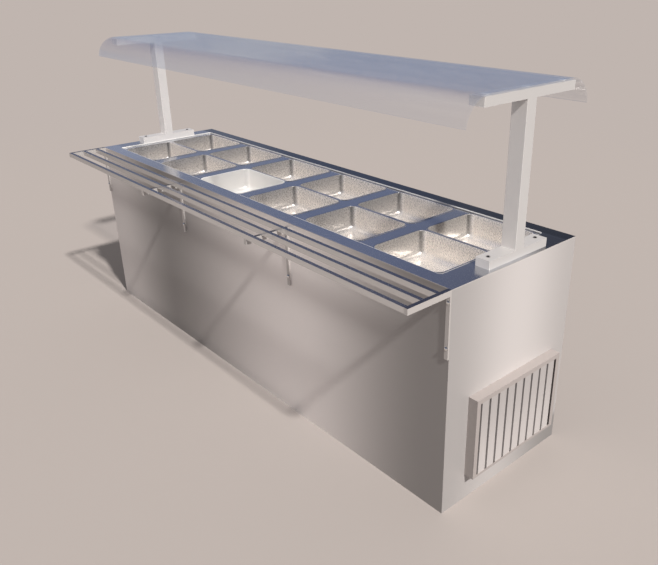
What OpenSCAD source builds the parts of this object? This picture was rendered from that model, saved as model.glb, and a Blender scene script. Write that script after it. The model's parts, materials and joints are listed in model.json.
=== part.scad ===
// Self-service buffet counter: a steel cabinet with a sunken well of lift-out
// food pans, a clear canopy on two posts and a tray slide along the front.
// Origin: middle of the cabinet's underside. +X along the counter to the
// grille end, -Y to the customers' side, +Z up. Millimetres.

/* [Cabinet] */
// Length of the cabinet along X
body_l = 2460; // [2440:10:2600]
// Depth of the cabinet along Y
body_d = 655; // [650:5:720]
// Height of the worktop above the floor
body_h = 850; // [830:10:900]
// Thickness of the panel sheet
sheet_t = 1.5; // [1.2:0.1:2]
// Width of the hem folded along a panel's edges
hem_w = 20; // [16:1:24]
// Height of the plinth
plinth_h = 95; // [80:5:110]
// Width of the plinth's folded flanges
plinth_flange = 30; // [26:1:40]
// Width of the stretcher across the plinth
stretcher_w = 60; // [40:5:100]
// Outer width of the square frame tube
tube_w = 30; // [25:1:30]
// Wall of the frame tube
tube_t = 2; // [1.5:0.5:3]

/* [Worktop and well] */
// Thickness of the worktop sheet
top_t = 2; // [1.5:0.5:3]
// Depth of the recess that the pans hang in
recess_drop = 6; // [4:1:8]
// Width of the worktop left of the recess
recess_left = 75; // [75:1:85]
// Width of the worktop right of the recess
recess_right = 100; // [80:1:104]
// Width of the ledge in front of the recess
recess_front = 60; // [52:1:62]
// Width of the ledge behind the recess
recess_back = 55; // [52:1:60]
// Corner radius of the recess
recess_r = 14; // [8:1:20]
// Number of pan columns
pan_cols = 6; // [5:1:6]
// Distance between pan columns
col_pitch = 384; // [370:1:386]
// Clear gap between the two rows of pans
row_gap = 1.5; // [1:0.5:4]
// Shift of the well from the middle along X
well_x = -2; // [-6:1:6]
// Shift of the well from the middle along Y
well_y = 1.75; // [0:0.25:4]
// Width of the stiffening bar between the rows
bar_w = 7; // [5:1:8]
// Depth of that bar below the sheet
bar_h = 12; // [8:1:20]

/* [Pans] */
// Length of a pan over its rim, along X
pan_l = 325; // [320:1:330]
// Width of a pan over its rim, along Y
pan_w = 265; // [260:1:266]
// Height of a pan
pan_h = 100; // [65:5:150]
// Thickness of the pan's sheet
pan_t = 1; // [0.8:0.1:1.5]
// Width of the pan's rim
pan_rim = 6.5; // [6:0.5:9]
// Corner radius of the pan at its mouth
pan_r = 28; // [20:1:36]
// Draft of a pan wall, side to side, from mouth to floor
pan_draft = 5; // [3:0.5:8]
// Radius from the pan's wall to its floor
pan_fillet = 30; // [20:1:34]
// Clearance under the rim
pan_seat_gap = 0.3; // [0.2:0.1:0.6]
// Width of the rim that lies on the worktop
pan_seat = 3.5; // [2.5:0.5:4.5]

/* [Tank and cooling] */
// Depth of the tank below the worktop sheet
tank_depth = 192; // [170:2:230]
// Clearance from the pan cut-outs to the tank wall
tank_margin = 3; // [2:1:6]
// Width of the tank's top flange
tank_flange = 5; // [3:1:8]
// Thickness of the foam at the tank's ends
foam_t = 24; // [18:1:24]
// Thickness of the foam below the tank
foam_floor = 38; // [28:1:48]
// Gap left between the foam and the frame
foam_gap = 4.5; // [2:0.5:10]
// Radius of the cooling tube
coil_r = 5; // [4:0.5:6]
// Distance between the passes of the cooling tube
coil_pitch = 80; // [60:2:90]
// Outer radius of the drain pipe
drain_r = 17; // [14:1:22]
// Wall of the drain pipe
drain_t = 2; // [1.5:0.5:3]
// Distance from the service door's edge to the drain
drain_x = 30; // [10:5:50]
// Length of the drain valve
valve_l = 60; // [50:2:80]
// Length of the valve's lever
lever_l = 84; // [60:2:100]

/* [Gantry and canopy] */
// Width of the gantry's pieces along X
gantry_w = 58; // [50:1:58]
// Distance from the cabinet's end to the gantry
gantry_inset = 16; // [10:1:17]
// Shift of the gantry from the middle along Y
gantry_y = 19; // [0:1:30]
// Length of a gantry base along Y
base_l = 306; // [260:2:320]
// Height of a gantry base
base_h = 30; // [24:1:40]
// Depth of a post along Y
post_d = 46; // [40:1:60]
// Height of a post
post_h = 484; // [420:4:560]
// Length of a canopy arm along Y
arm_l = 450; // [430:2:452]
// Height of a canopy arm
arm_h = 30; // [24:1:36]
// Wall of the post and arm tubes
post_t = 2.5; // [2:0.5:4]
// Thickness of the canopy sheet
canopy_t = 5; // [4:0.5:8]
// Width of the flat top of the canopy
canopy_flat = 420; // [410:2:440]
// Outer radius of the curved visors
visor_r = 95; // [90:1:120]
// Height of the curved visors
visor_drop = 87; // [60:1:88]
// Distance from the cabinet's end to the canopy's edge
canopy_inset = 15; // [5:1:20]
// Thickness of the pads under the canopy
pad_t = 2; // [1.5:0.5:3]
// Distance of the base screws from the base's ends
screw_inset = 28; // [20:1:50]
// Radius of the gantry screws
screw_r = 3; // [2.5:0.5:4]

/* [Tray slide] */
// Reach of the tray slide in front of the cabinet
tray_reach = 186; // [150:2:260]
// Width of a rail
rail_w = 15; // [12:1:20]
// Height of a rail
rail_h = 20; // [15:1:25]
// Distance between the rails
rail_pitch = 67; // [50:1:68]
// Wall of a rail
rail_t = 1.2; // [1:0.1:2]
// Width of a bracket
bracket_w = 15; // [12:1:20]
// Height of a bracket's arm
bracket_h = 21; // [18:1:30]
// Thickness of the strap on the wall
strap_t = 6; // [5:1:8]
// Length of the strap below the arm
strap_l = 218; // [180:2:280]
// Distance from the arm down to the upper bolt
bolt_drop = 21; // [16:1:40]
// Distance between the two bolts
bolt_pitch = 158; // [120:2:200]
// Radius of the bracket bolts
bolt_r = 4; // [3:0.5:5]
// Radius of the bolts' domed heads
bolt_head_r = 6.5; // [6:0.5:7.5]
// Height of the bolts' domed heads
bolt_head_h = 5; // [3:0.5:6]

/* [Grille] */
// Width of the grille along Y
grille_w = 466; // [420:2:480]
// Height of the grille
grille_h = 319; // [280:1:340]
// How far the grille stands off the end panel
grille_proud = 38; // [30:1:50]
// Height of the grille's lower edge above the floor
grille_z = 106; // [100:1:130]
// Shift of the grille from the middle along Y
grille_y = 16.5; // [0:0.5:20]
// Border at the grille's sides and top
grille_border = 18; // [14:1:24]
// Border at the grille's lower edge
grille_sill = 10; // [8:1:16]
// Number of slats
slat_n = 9; // [7:1:11]
// Width of a slat
slat_w = 36; // [24:1:36]
// Depth of a slat
slat_d = 14; // [10:1:18]
// Sheet of the grille
grille_t = 1.5; // [1.2:0.1:2]

/* [Condensing unit] */
// Height of the unit's base tray
unit_h = 20; // [16:1:26]
// Thickness of the condenser
cond_d = 45; // [35:1:55]
// Width of the condenser
cond_w = 400; // [380:2:420]
// Height of the condenser
cond_h = 283; // [260:1:290]
// Number of condenser fins
fin_n = 21; // [11:2:31]
// Radius of the fan
fan_r = 115; // [90:1:120]
// Number of fan blades
blade_n = 5; // [4:1:7]
// Radius of the fan's hub
hub_r = 24; // [18:1:28]
// Length of the fan's hub
hub_l = 20; // [16:1:24]
// Width of a fan blade
blade_w = 64; // [56:1:72]
// Thickness of a fan blade
blade_t = 2.4; // [1.6:0.2:3]
// Radius of the fan motor
motor_r = 36; // [30:1:45]
// Length of the fan motor
motor_l = 60; // [40:2:80]
// Radius of the motor's shaft
shaft_r = 4; // [3:0.5:5]
// Radius of the compressor
comp_r = 82; // [70:1:90]
// Height of the compressor
comp_h = 190; // [160:5:220]
// Distance from the cabinet's end to the compressor's middle
comp_x = 350; // [330:5:370]
// Length of the base tray beyond the compressor
unit_lead = 70; // [50:5:90]

/* [Operator side] */
// Width of the service door
door_w = 560; // [520:5:570]
// Height of the service door
door_h = 430; // [380:5:440]
// Height of the door's lower edge
door_z = 132; // [126:1:150]
// Distance from the cabinet's end to the door
door_inset = 60; // [56:1:66]
// Clearance round the door
door_gap = 2; // [1.5:0.5:3]
// Depth of the door's folded edge
door_d = 18; // [14:1:22]
// Number of louvres in the door
louvre_n = 9; // [5:1:10]
// Length of a louvre
louvre_l = 300; // [200:10:320]
// Distance from the door's edge to its first and last louvre
louvre_margin = 45; // [30:1:60]
// Distance from the door's corners to its hinges
hinge_inset = 60; // [40:2:90]
// Width of a hinge leaf
leaf_w = 34; // [24:1:40]
// Radius of the hinge pins
pin_r = 3; // [2.5:0.5:4]
// Outer radius of the hinge knuckles
knuckle_r = 6; // [5.5:0.5:8]
// Length of a hinge
hinge_l = 60; // [50:2:80]
// Width of the control panel
panel_w = 120; // [110:2:130]
// Height of the control panel
panel_h = 160; // [150:2:180]
// Distance from the service door to the control panel's middle
panel_x = 105; // [95:1:110]
// Distance from the worktop down to the control panel's middle
panel_z = 400; // [370:5:420]
// Distance from the control panel to the frame post beside it
panel_side = 22.5; // [10:0.5:30]
// Length of the switch's rocker
rocker_l = 24; // [20:1:28]
// Radius of the rocker's underside
rocker_r = 8.6; // [8:0.1:9.5]
// Tilt of the rocker to each side
rocker_tilt = 10; // [6:1:14]
// Radius of the thermostat knob
knob_r = 20; // [16:1:26]
// Length of the knob
knob_l = 18; // [14:1:24]
// Radius of the cable bore in the gland
cable_r = 5; // [4:0.5:6]

/* [Hidden] */
// Running clearance of a pin or shaft in its bore
run_gap = 0.05;
// Clearance between pieces that pass each other
pass_gap = 0.3;
// Overshoot of a cutting shape
cut = 1;
// Facets along one rounded corner of a pan
corner_n = 6;
end_x = body_l / 2;
front_y = -body_d / 2;
back_y = body_d / 2;
under_top = body_h - top_t;
ledge_z = body_h - recess_drop;
ledge_under = ledge_z - top_t;
recess_x0 = -end_x + recess_left;
recess_x1 = end_x - recess_right;
recess_y0 = front_y + recess_front;
recess_y1 = back_y - recess_back;
row_pitch = pan_w + row_gap;
cut_l = pan_l - 2 * pan_seat;
cut_w = pan_w - 2 * pan_seat;
cut_r = pan_r + pan_rim - pan_seat;
well_l = (pan_cols - 1) * col_pitch + cut_l;
well_w = row_pitch + cut_w;
pan_x = [for (c = [0:pan_cols - 1]) well_x + (c - (pan_cols - 1) / 2) * col_pitch];
pan_y = [well_y - row_pitch / 2, well_y + row_pitch / 2];
pan_z = ledge_z + pan_seat_gap + pan_t - pan_h;
tank_l = well_l + 2 * tank_margin;
tank_w = well_w + 2 * tank_margin;
tank_z = ledge_under - tank_depth;
coil_z = tank_z - pass_gap - coil_r;
coil_n = 6;
coil_x = tank_l / 2 - coil_pitch;
foam_pocket = tank_z - 2 * coil_r - 2 * pass_gap;
foam_z = foam_pocket - foam_floor;
coil_end_z = foam_z - 10;
top_frame_z = under_top - sheet_t - tube_w;
post_y = body_d / 2 - 2 * sheet_t - tube_w / 2;
post_x = end_x - sheet_t - tube_w / 2;
foam_y = post_y - tube_w / 2 - foam_gap;
floor_t = 2;
floor_z = plinth_h + floor_t;
hem_end = end_x - sheet_t - hem_w - 0.5;
gantry_x = end_x - gantry_inset - gantry_w / 2;
base_top = body_h + base_h;
arm_z = base_top + post_h;
arm_top = arm_z + arm_h;
canopy_z = arm_top + pad_t;
canopy_l = body_l - 2 * canopy_inset;
screw_y = base_l / 2 - screw_inset;
rail_z = body_h - rail_h;
rail_y = [for (i = [0:2]) front_y - tray_reach + rail_w / 2 + i * rail_pitch];
rail_l = body_l - 2 * bracket_w;
bolt_dome = (bolt_head_r * bolt_head_r + bolt_head_h * bolt_head_h) / (2 * bolt_head_h) + 1.7;
grille_x = end_x + grille_proud;
grille_win_w = grille_w - 2 * grille_border;
grille_win_h = grille_h - grille_border - grille_sill;
slat_pitch = (grille_win_w - slat_n * slat_w) / (slat_n + 1) + slat_w;
grille_screw_y = grille_w / 2 - 12;
vent_w = grille_w - 70;
vent_z0 = grille_z + 30;
vent_z1 = grille_z + grille_h - 30;
unit_z = floor_z + unit_h;
cond_x1 = end_x - sheet_t - 32;
cond_x0 = cond_x1 - cond_d;
cond_top = unit_z + cond_h;
fan_z = unit_z + cond_h / 2;
ring_r = fan_r + 7;
ring_d = 30;
shroud_t = 2;
shroud_x = cond_x0 - shroud_t;
fan_x = shroud_x - ring_d / 2;
motor_x = shroud_x - ring_d - 4;
comp_cx = end_x - comp_x;
plate_edge = 10;
stub_h = 10;
comp_top = unit_z + comp_h;
pipe_r = 5;
cond_port_x = (cond_x0 + cond_x1) / 2;
suction_y = well_y - (coil_n - 1) / 2 * coil_pitch;
liquid_y = well_y + (coil_n - 1) / 2 * coil_pitch;
gas_y = grille_y + 40;
return_y = grille_y - 40;
pipe_top = cond_top + 40;
pipe_high = coil_end_z - 80;
door_x1 = end_x - door_inset;
door_x0 = door_x1 - door_w;
panel_cx = door_x0 - panel_x;
panel_cz = body_h - panel_z;
drain_cx = door_x0 + drain_x;
mid_post_x = panel_cx - panel_w / 2 - panel_side - tube_w / 2;
bracket_x = [-end_x + bracket_w / 2, -mid_post_x, mid_post_x, end_x - bracket_w / 2];
hinge_x = door_x1 + door_gap / 2;
hinge_y = back_y + knuckle_r + pass_gap;
hinge_z = [door_z + hinge_inset, door_z + door_h - hinge_inset - hinge_l];
leaf_t = 2;
lock_x = door_x0 + 34;
lock_z = door_z + door_h / 2;
lock_r = 9;
valve_top = foam_z - 40;
valve_z = valve_top - valve_l / 2;
valve_y = 23;
stem_r = 5;
drain_end = 40;
lever_t = 3;
switch_z = panel_cz - panel_h / 4 + 4;
knob_z = panel_cz + panel_h / 5;
panel_t = 2;
rocker_y = back_y + panel_t - 1;
knob_y = back_y + panel_t + pass_gap;
box_d = 56;
gland_x = panel_cx;
gland_z = 200;

// A block given by its lowest and highest corners
module block(lo, hi) {
    translate(lo) cube(hi - lo);
}

// A flat outline of length l and width w with corners of radius r
module round_rect(l, w, r) {
    square([l - 2 * r, w], center = true);
    square([l, w - 2 * r], center = true);
    for (sx = [-1, 1], sy = [-1, 1])
        translate([sx * (l / 2 - r), sy * (w / 2 - r)]) circle(r, $fn = 32);
}

// A cylinder along X, starting at x = 0
module rod_x(r, l) {
    rotate([0, 90, 0]) cylinder(r = r, h = l, $fn = 48);
}

// A cylinder along +Y, starting at y = 0
module rod_y(r, l) {
    rotate([-90, 0, 0]) cylinder(r = r, h = l, $fn = 48);
}

// A pipe run through a list of points, rounded at each turn
module pipe_run(points, r) {
    for (i = [0:len(points) - 2]) {
        d = points[i + 1] - points[i];
        l = norm(d);
        translate(points[i])
            rotate([0, acos(d[2] / l), atan2(d[1], d[0])])
            cylinder(r = r, h = l, $fn = 24);
    }
    for (i = [1:len(points) - 2])
        translate(points[i]) sphere(r = r, $fn = 24);
}

// Rounded-rectangle ring of points at height z, for lofted shells
function ring(l, w, r, z) = [
    for (q = [0:3], i = [0:corner_n - 1])
        let (a = 90 * q + 90 * i / (corner_n - 1),
             cx = (q == 0 || q == 3 ? 1 : -1) * (l / 2 - r),
             cy = (q < 2 ? 1 : -1) * (w / 2 - r))
        [cx + r * cos(a), cy + r * sin(a), z]
];

// Closed skin through equal rings, capped at the first and the last
module loft(rings) {
    n = len(rings[0]);
    m = len(rings);
    sides = [
        for (k = [0:m - 2], i = [0:n - 1])
            let (j = (i + 1) % n, a = k * n, b = a + n)
            each [[a + i, b + i, b + j], [a + i, b + j, a + j]]
    ];
    first = [for (i = [0:n - 1]) i];
    last = [for (i = [n - 1:-1:0]) (m - 1) * n + i];
    polyhedron(points = [for (r = rings) each r], faces = concat(sides, [first, last]));
}

module plinth() {
    color("#b9b4ae") {
        difference() {
            block([-end_x, front_y, 0], [end_x, back_y, plinth_h]);
            block([-end_x + plinth_flange, front_y + plinth_flange, -cut],
                  [end_x - plinth_flange, back_y - plinth_flange, plinth_h + cut]);
            block([-end_x + sheet_t, front_y + sheet_t, sheet_t],
                  [end_x - sheet_t, back_y - sheet_t, plinth_h - sheet_t]);
        }
        plinth_stretcher();
    }
}

// Channel across the middle of the plinth, open at its sides
module plinth_stretcher() {
    y = back_y - plinth_flange;
    for (z = [0, plinth_h - sheet_t])
        block([-stretcher_w / 2, -y, z], [stretcher_w / 2, y, z + sheet_t]);
    block([-sheet_t / 2, -y, 0], [sheet_t / 2, y, plinth_h]);
}

module floor_pan() {
    color("#9d9d9b") difference() {
        block([-hem_end, -(back_y - sheet_t - hem_w - 0.5), plinth_h],
              [hem_end, back_y - sheet_t - hem_w - 0.5, floor_z]);
        translate([drain_cx, well_y, plinth_h - cut])
            cylinder(r = drain_r + 1, h = floor_t + 2 * cut, $fn = 48);
    }
}

// Square tube along Z, open at its ends
module upright(h) {
    linear_extrude(h) difference() {
        square(tube_w, center = true);
        square(tube_w - 2 * tube_t, center = true);
    }
}

module frame_posts() {
    color("#8f9092")
        for (x = [-post_x, -mid_post_x, mid_post_x, post_x], y = [-post_y, post_y])
            translate([x, y, floor_z]) upright(top_frame_z - floor_z);
}

module top_frame() {
    x = post_x + tube_w / 2;
    y = post_y + tube_w / 2;
    color("#8f9092") difference() {
        block([-x, -y, top_frame_z], [x, y, top_frame_z + tube_w]);
        block([-x + tube_w, -y + tube_w, top_frame_z - cut],
              [x - tube_w, y - tube_w, top_frame_z + tube_w + cut]);
        difference() {
            block([-x + tube_t, -y + tube_t, top_frame_z + tube_t],
                  [x - tube_t, y - tube_t, top_frame_z + tube_w - tube_t]);
            block([-x + tube_w - tube_t, -y + tube_w - tube_t, top_frame_z],
                  [x - tube_w + tube_t, y - tube_w + tube_t, top_frame_z + tube_w]);
        }
    }
}

// Long panel at the front, with a hem along its top and bottom.
// The rear panel is the same sheet turned round.
module long_panel() {
    block([-end_x, front_y, plinth_h], [end_x, front_y + sheet_t, under_top]);
    for (z = [plinth_h, under_top - sheet_t])
        block([-hem_end, front_y, z], [hem_end, front_y + sheet_t + hem_w, z + sheet_t]);
}

module front_panel() {
    color("#a39c96") difference() {
        long_panel();
        bracket_bolt_places() rod_y(bolt_r + pass_gap, strap_t + 12);
    }
}

module rear_panel() {
    x0 = door_x0 - door_gap;
    x1 = door_x1 + door_gap;
    z0 = door_z - door_gap;
    z1 = door_z + door_h + door_gap;
    color("#a39c96") difference() {
        union() {
            mirror([0, 1, 0]) long_panel();
            block([x0 - sheet_t, back_y - door_d, z0 - sheet_t],
                  [x1 + sheet_t, back_y, z1 + sheet_t]);
        }
        block([x0, back_y - door_d - cut, z0], [x1, back_y + cut, z1]);
        translate([panel_cx, back_y - sheet_t - cut, switch_z])
            block([-16, 0, -12], [16, sheet_t + 2 * cut, 12]);
        translate([panel_cx, back_y - sheet_t - cut, knob_z])
            rod_y(5, sheet_t + 2 * cut);
        translate([gland_x, back_y - sheet_t - cut, gland_z])
            rod_y(cable_r + 4, sheet_t + 2 * cut);
    }
}

// Panel across the right end, with a hem on all four sides
module end_panel() {
    y = back_y - sheet_t;
    difference() {
        block([end_x - sheet_t - hem_w, -y, plinth_h], [end_x, y, under_top]);
        block([end_x - sheet_t - hem_w - cut, -y + sheet_t, plinth_h + sheet_t],
              [end_x - sheet_t, y - sheet_t, under_top - sheet_t]);
    }
}

module left_end_panel() {
    color("#b3ada7") difference() {
        mirror([1, 0, 0]) end_panel();
        bracket_bolt_places() rod_y(bolt_r + pass_gap, strap_t + 12);
    }
}

module right_end_panel() {
    color("#cbc6c1") difference() {
        end_panel();
        block([end_x - sheet_t - cut, grille_y - vent_w / 2, vent_z0],
              [end_x + cut, grille_y + vent_w / 2, vent_z1]);
        grille_screw_places() rod_x(2.5 + pass_gap, 20);
        bracket_bolt_places() rod_y(bolt_r + pass_gap, strap_t + 12);
    }
}

// Repeats its children at every pan
module at_pans() {
    for (x = pan_x, y = pan_y) translate([x, y, 0]) children();
}

module worktop() {
    rl = recess_x1 - recess_x0;
    rw = recess_y1 - recess_y0;
    rc = [(recess_x0 + recess_x1) / 2, (recess_y0 + recess_y1) / 2, 0];
    color("#5a6278") difference() {
        union() {
            block([-end_x, front_y, under_top], [end_x, back_y, body_h]);
            translate(rc + [0, 0, ledge_under])
                linear_extrude(recess_drop)
                round_rect(rl + 2 * top_t, rw + 2 * top_t, recess_r + top_t);
            for (x = pan_x)
                block([x - cut_l / 2, well_y - bar_w / 2, ledge_under - bar_h],
                      [x + cut_l / 2, well_y + bar_w / 2, ledge_under]);
        }
        translate(rc + [0, 0, ledge_z])
            linear_extrude(recess_drop + cut) round_rect(rl, rw, recess_r);
        at_pans() translate([0, 0, ledge_under - cut])
            linear_extrude(top_t + 2 * cut) round_rect(cut_l, cut_w, cut_r);
        gantry_screw_places() translate([0, 0, -cut])
            cylinder(r = screw_r + pass_gap, h = top_t + 2 * cut, $fn = 32);
    }
}

module well_tank() {
    x = tank_l / 2 + sheet_t;
    y = tank_w / 2 + sheet_t;
    color("#c9cacb") translate([well_x, well_y, 0]) difference() {
        union() {
            block([-x, -y, tank_z], [x, y, ledge_under]);
            block([-x - tank_flange, -y - tank_flange, ledge_under - sheet_t],
                  [x + tank_flange, y + tank_flange, ledge_under]);
        }
        block([-x + sheet_t, -y + sheet_t, tank_z + sheet_t],
              [x - sheet_t, y - sheet_t, ledge_under + cut]);
        translate([drain_cx - well_x, 0, tank_z - cut])
            cylinder(r = drain_r + pass_gap, h = sheet_t + 2 * cut, $fn = 48);
    }
}

module tank_foam() {
    x = tank_l / 2 + sheet_t;
    y = tank_w / 2 + sheet_t;
    color("#e8dfb0") translate([well_x, well_y, 0]) difference() {
        block([-x - foam_t, -foam_y - well_y, foam_z],
              [x + foam_t, foam_y - well_y, ledge_under - sheet_t - pass_gap]);
        block([-x - pass_gap, -y - pass_gap, foam_pocket],
              [x + pass_gap, y + pass_gap, ledge_under + cut]);
        translate([drain_cx - well_x, 0, foam_z - cut])
            cylinder(r = drain_r + 1, h = foam_floor + 2 * cut, $fn = 48);
        for (s = [-1, 1])
            translate([coil_x - well_x, s * (coil_n - 1) / 2 * coil_pitch, foam_z - cut])
                cylinder(r = coil_r + 1, h = foam_floor + 2 * cut, $fn = 32);
    }
}

// Serpentine tube under the tank floor, both ends turned down at the right
module cooling_coil() {
    y0 = well_y - (coil_n - 1) / 2 * coil_pitch;
    passes = [
        for (i = [0:coil_n - 1], e = i % 2 == 0 ? [1, -1] : [-1, 1])
            [e * coil_x, y0 + i * coil_pitch, coil_z]
    ];
    color("#b06a3c") pipe_run(concat(
        [[coil_x, suction_y, coil_end_z]],
        passes,
        [[coil_x, liquid_y, coil_end_z]]
    ), coil_r);
}

// Pipe with the drain's outer radius and wall
module drain_tube(z0, z1) {
    translate([drain_cx, well_y, z0]) difference() {
        cylinder(r = drain_r, h = z1 - z0, $fn = 48);
        translate([0, 0, -cut]) cylinder(r = drain_r - drain_t, h = z1 - z0 + 2 * cut, $fn = 48);
    }
}

module drain_pipe() {
    seat = tank_z + sheet_t;
    color("#b9b9b7") {
        drain_tube(valve_top, seat + 2);
        translate([drain_cx, well_y, seat]) difference() {
            cylinder(r = drain_r + 11, h = 2, $fn = 48);
            translate([0, 0, -cut]) cylinder(r = drain_r - drain_t, h = 2 + 2 * cut, $fn = 48);
        }
        drain_tube(drain_end, valve_top - valve_l);
    }
}

module drain_valve() {
    color("#c7a24a") translate([drain_cx, well_y, 0]) {
        difference() {
            union() {
                translate([0, 0, valve_z]) sphere(r = valve_y, $fn = 48);
                for (z = [valve_top - valve_l, valve_top - 14])
                    translate([0, 0, z]) cylinder(r = drain_r + 4, h = 14, $fn = 6);
                translate([0, 0, valve_top - valve_l]) cylinder(r = drain_r, h = valve_l, $fn = 48);
                translate([0, 0, valve_z]) rod_y(9, valve_y + 8);
            }
            translate([0, 0, valve_top - valve_l - cut])
                cylinder(r = drain_r - drain_t, h = valve_l + 2 * cut, $fn = 48);
        }
        translate([0, valve_y + 8, valve_z]) rod_y(stem_r, 8);
    }
}

module valve_lever() {
    y = valve_y + 8 + pass_gap;
    color("#b3322b") translate([drain_cx, well_y + y, valve_z]) difference() {
        union() {
            rod_y(10, lever_t + 1);
            block([0, 0, -7], [lever_l, lever_t, 7]);
            translate([lever_l, 0, 0]) rod_y(7, lever_t);
        }
        translate([0, -cut, 0]) rod_y(stem_r + run_gap, lever_t + 1 + 2 * cut);
    }
}

// Repeats its children at the screws of both gantry bases
module gantry_screw_places() {
    for (x = [-gantry_x, gantry_x], s = [-1, 1])
        translate([x, gantry_y + s * screw_y, under_top]) children();
}

module gantry_base(side) {
    color("#dcdad6") difference() {
        translate([side * gantry_x, gantry_y, body_h]) linear_extrude(base_h)
            round_rect(gantry_w, base_l, 2);
        gantry_screw_places() cylinder(r = screw_r + pass_gap, h = base_h + 2 * top_t, $fn = 32);
    }
}

module gantry_post(side) {
    color("#e4e2de") translate([side * gantry_x, gantry_y, base_top]) {
        linear_extrude(post_h) difference() {
            round_rect(gantry_w, post_d, 1.5);
            square([gantry_w - 2 * post_t, post_d - 2 * post_t], center = true);
        }
        translate([0, 0, post_h]) difference() {
            linear_extrude(arm_h) round_rect(gantry_w, arm_l, 1.5);
            block([-gantry_w / 2 + post_t, -arm_l / 2 + post_t, post_t],
                  [gantry_w / 2 - post_t, arm_l / 2 - post_t, arm_h - post_t]);
        }
    }
}

// Domed screws through base and worktop, with nuts underneath
module gantry_screws() {
    color("#4a4a4c") gantry_screw_places() {
        translate([0, 0, top_t + base_h]) intersection() {
            cylinder(r = 6.5, h = 4, $fn = 32);
            translate([0, 0, -5.2]) sphere(r = 9, $fn = 32);
        }
        translate([0, 0, -10]) cylinder(r = screw_r, h = base_h + top_t + 10.5, $fn = 32);
        translate([0, 0, -5.5]) cylinder(r = 5.5, h = 5.5, $fn = 6);
    }
}

// Flat sheet whose front and back edges curve down as visors
module canopy() {
    inner = visor_r - canopy_t;
    color([0.75, 0.85, 0.95, 0.4])
        translate([-canopy_l / 2, gantry_y, canopy_z])
        rotate([90, 0, 90])
        linear_extrude(canopy_l) {
            translate([-canopy_flat / 2, 0]) square([canopy_flat, canopy_t]);
            for (s = [-1, 1])
                translate([s * canopy_flat / 2, canopy_t - visor_r]) intersection() {
                    difference() {
                        circle(visor_r, $fn = 96);
                        circle(inner, $fn = 96);
                    }
                    translate([s < 0 ? -visor_r : 0, visor_r - visor_drop])
                        square([visor_r, visor_drop]);
                }
        }
}

module canopy_pads() {
    color("#e9eaea")
        for (x = [-gantry_x, gantry_x], y = [-canopy_flat / 2 + 20, 0, canopy_flat / 2 - 20])
            translate([x, gantry_y + y, arm_top]) cylinder(r = 12, h = pad_t, $fn = 32);
}

// Rectangular tube along X, between the two end brackets
module tray_rail(i) {
    color("#8c8f9c") translate([-rail_l / 2, rail_y[i], rail_z + rail_h / 2])
        rotate([90, 0, 90]) linear_extrude(rail_l) difference() {
            square([rail_w, rail_h], center = true);
            square([rail_w - 2 * rail_t, rail_h - 2 * rail_t], center = true);
        }
}

// Height of a bracket arm's top: level with the rails at the two ends
// of the slide, and just under them in between
function bracket_top(i) = i == 0 || i == 3 ? body_h : rail_z;

// Repeats its children at both bolts of each bracket
module bracket_bolt_places() {
    for (i = [0:3], k = [0, 1])
        translate([bracket_x[i], front_y - strap_t,
                   bracket_top(i) - bracket_h - bolt_drop - k * bolt_pitch])
            children();
}

module bracket(i) {
    z = bracket_top(i);
    x = bracket_x[i];
    color("#9a9994") difference() {
        union() {
            block([x - bracket_w / 2, front_y - tray_reach, z - bracket_h],
                  [x + bracket_w / 2, front_y, z]);
            block([x - bracket_w / 2, front_y - strap_t, z - bracket_h - strap_l],
                  [x + bracket_w / 2, front_y, z]);
        }
        bracket_bolt_places() translate([0, -cut, 0]) rod_y(bolt_r + pass_gap, strap_t + 2 * cut);
    }
}

// Domed bolts through strap and panel into the frame posts
module bracket_bolts() {
    color("#d8d8d8") bracket_bolt_places() {
        intersection() {
            translate([0, -bolt_head_h, 0]) rod_y(bolt_head_r, bolt_head_h);
            translate([0, bolt_dome - bolt_head_h, 0]) sphere(r = bolt_dome, $fn = 32);
        }
        rod_y(bolt_r, strap_t + 2 * sheet_t);
    }
}

// Folded frame of the grille: side walls, a border in front and a
// flange against the end panel
module grille_frame() {
    y0 = grille_y - grille_w / 2;
    y1 = grille_y + grille_w / 2;
    z1 = grille_z + grille_h;
    color("#a8a29b") difference() {
        block([end_x, y0, grille_z], [grille_x, y1, z1]);
        block([end_x + grille_t, y0 + grille_t, grille_z + grille_t],
              [grille_x - grille_t, y1 - grille_t, z1 - grille_t]);
        block([end_x + grille_t, y0 + grille_border, grille_z + grille_sill],
              [grille_x + cut, y1 - grille_border, z1 - grille_border]);
        block([end_x - cut, y0 + 24, grille_z + 24], [end_x + 2 * grille_t, y1 - 24, z1 - 24]);
        grille_screw_places() rod_x(2.5 + pass_gap, 30);
    }
}

// Upright slats, each a shallow channel behind the border
module grille_slats() {
    y0 = grille_y - grille_win_w / 2 + slat_pitch - slat_w;
    z0 = grille_z + grille_sill - 6;
    z1 = grille_z + grille_h - grille_border + 8;
    x1 = grille_x - grille_t;
    color("#dedbd8")
        for (i = [0:slat_n - 1])
            translate([x1 - slat_d, y0 + i * slat_pitch, z0]) difference() {
                cube([slat_d, slat_w, z1 - z0]);
                translate([-cut, grille_t, -cut])
                    cube([slat_d - grille_t + cut, slat_w - 2 * grille_t, z1 - z0 + 2 * cut]);
            }
}

// Repeats its children at the grille's screws, inside the end panel
module grille_screw_places() {
    for (s = [-1, 1], z = [grille_z + 12, grille_z + grille_h - 12])
        translate([end_x - sheet_t - 6, grille_y + s * grille_screw_y, z]) children();
}

module grille_screws() {
    color("#c0c0c0") grille_screw_places() {
        translate([3, 0, 0]) rod_x(5, 3);
        translate([5, 0, 0]) rod_x(2.5, 12);
    }
}

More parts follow.
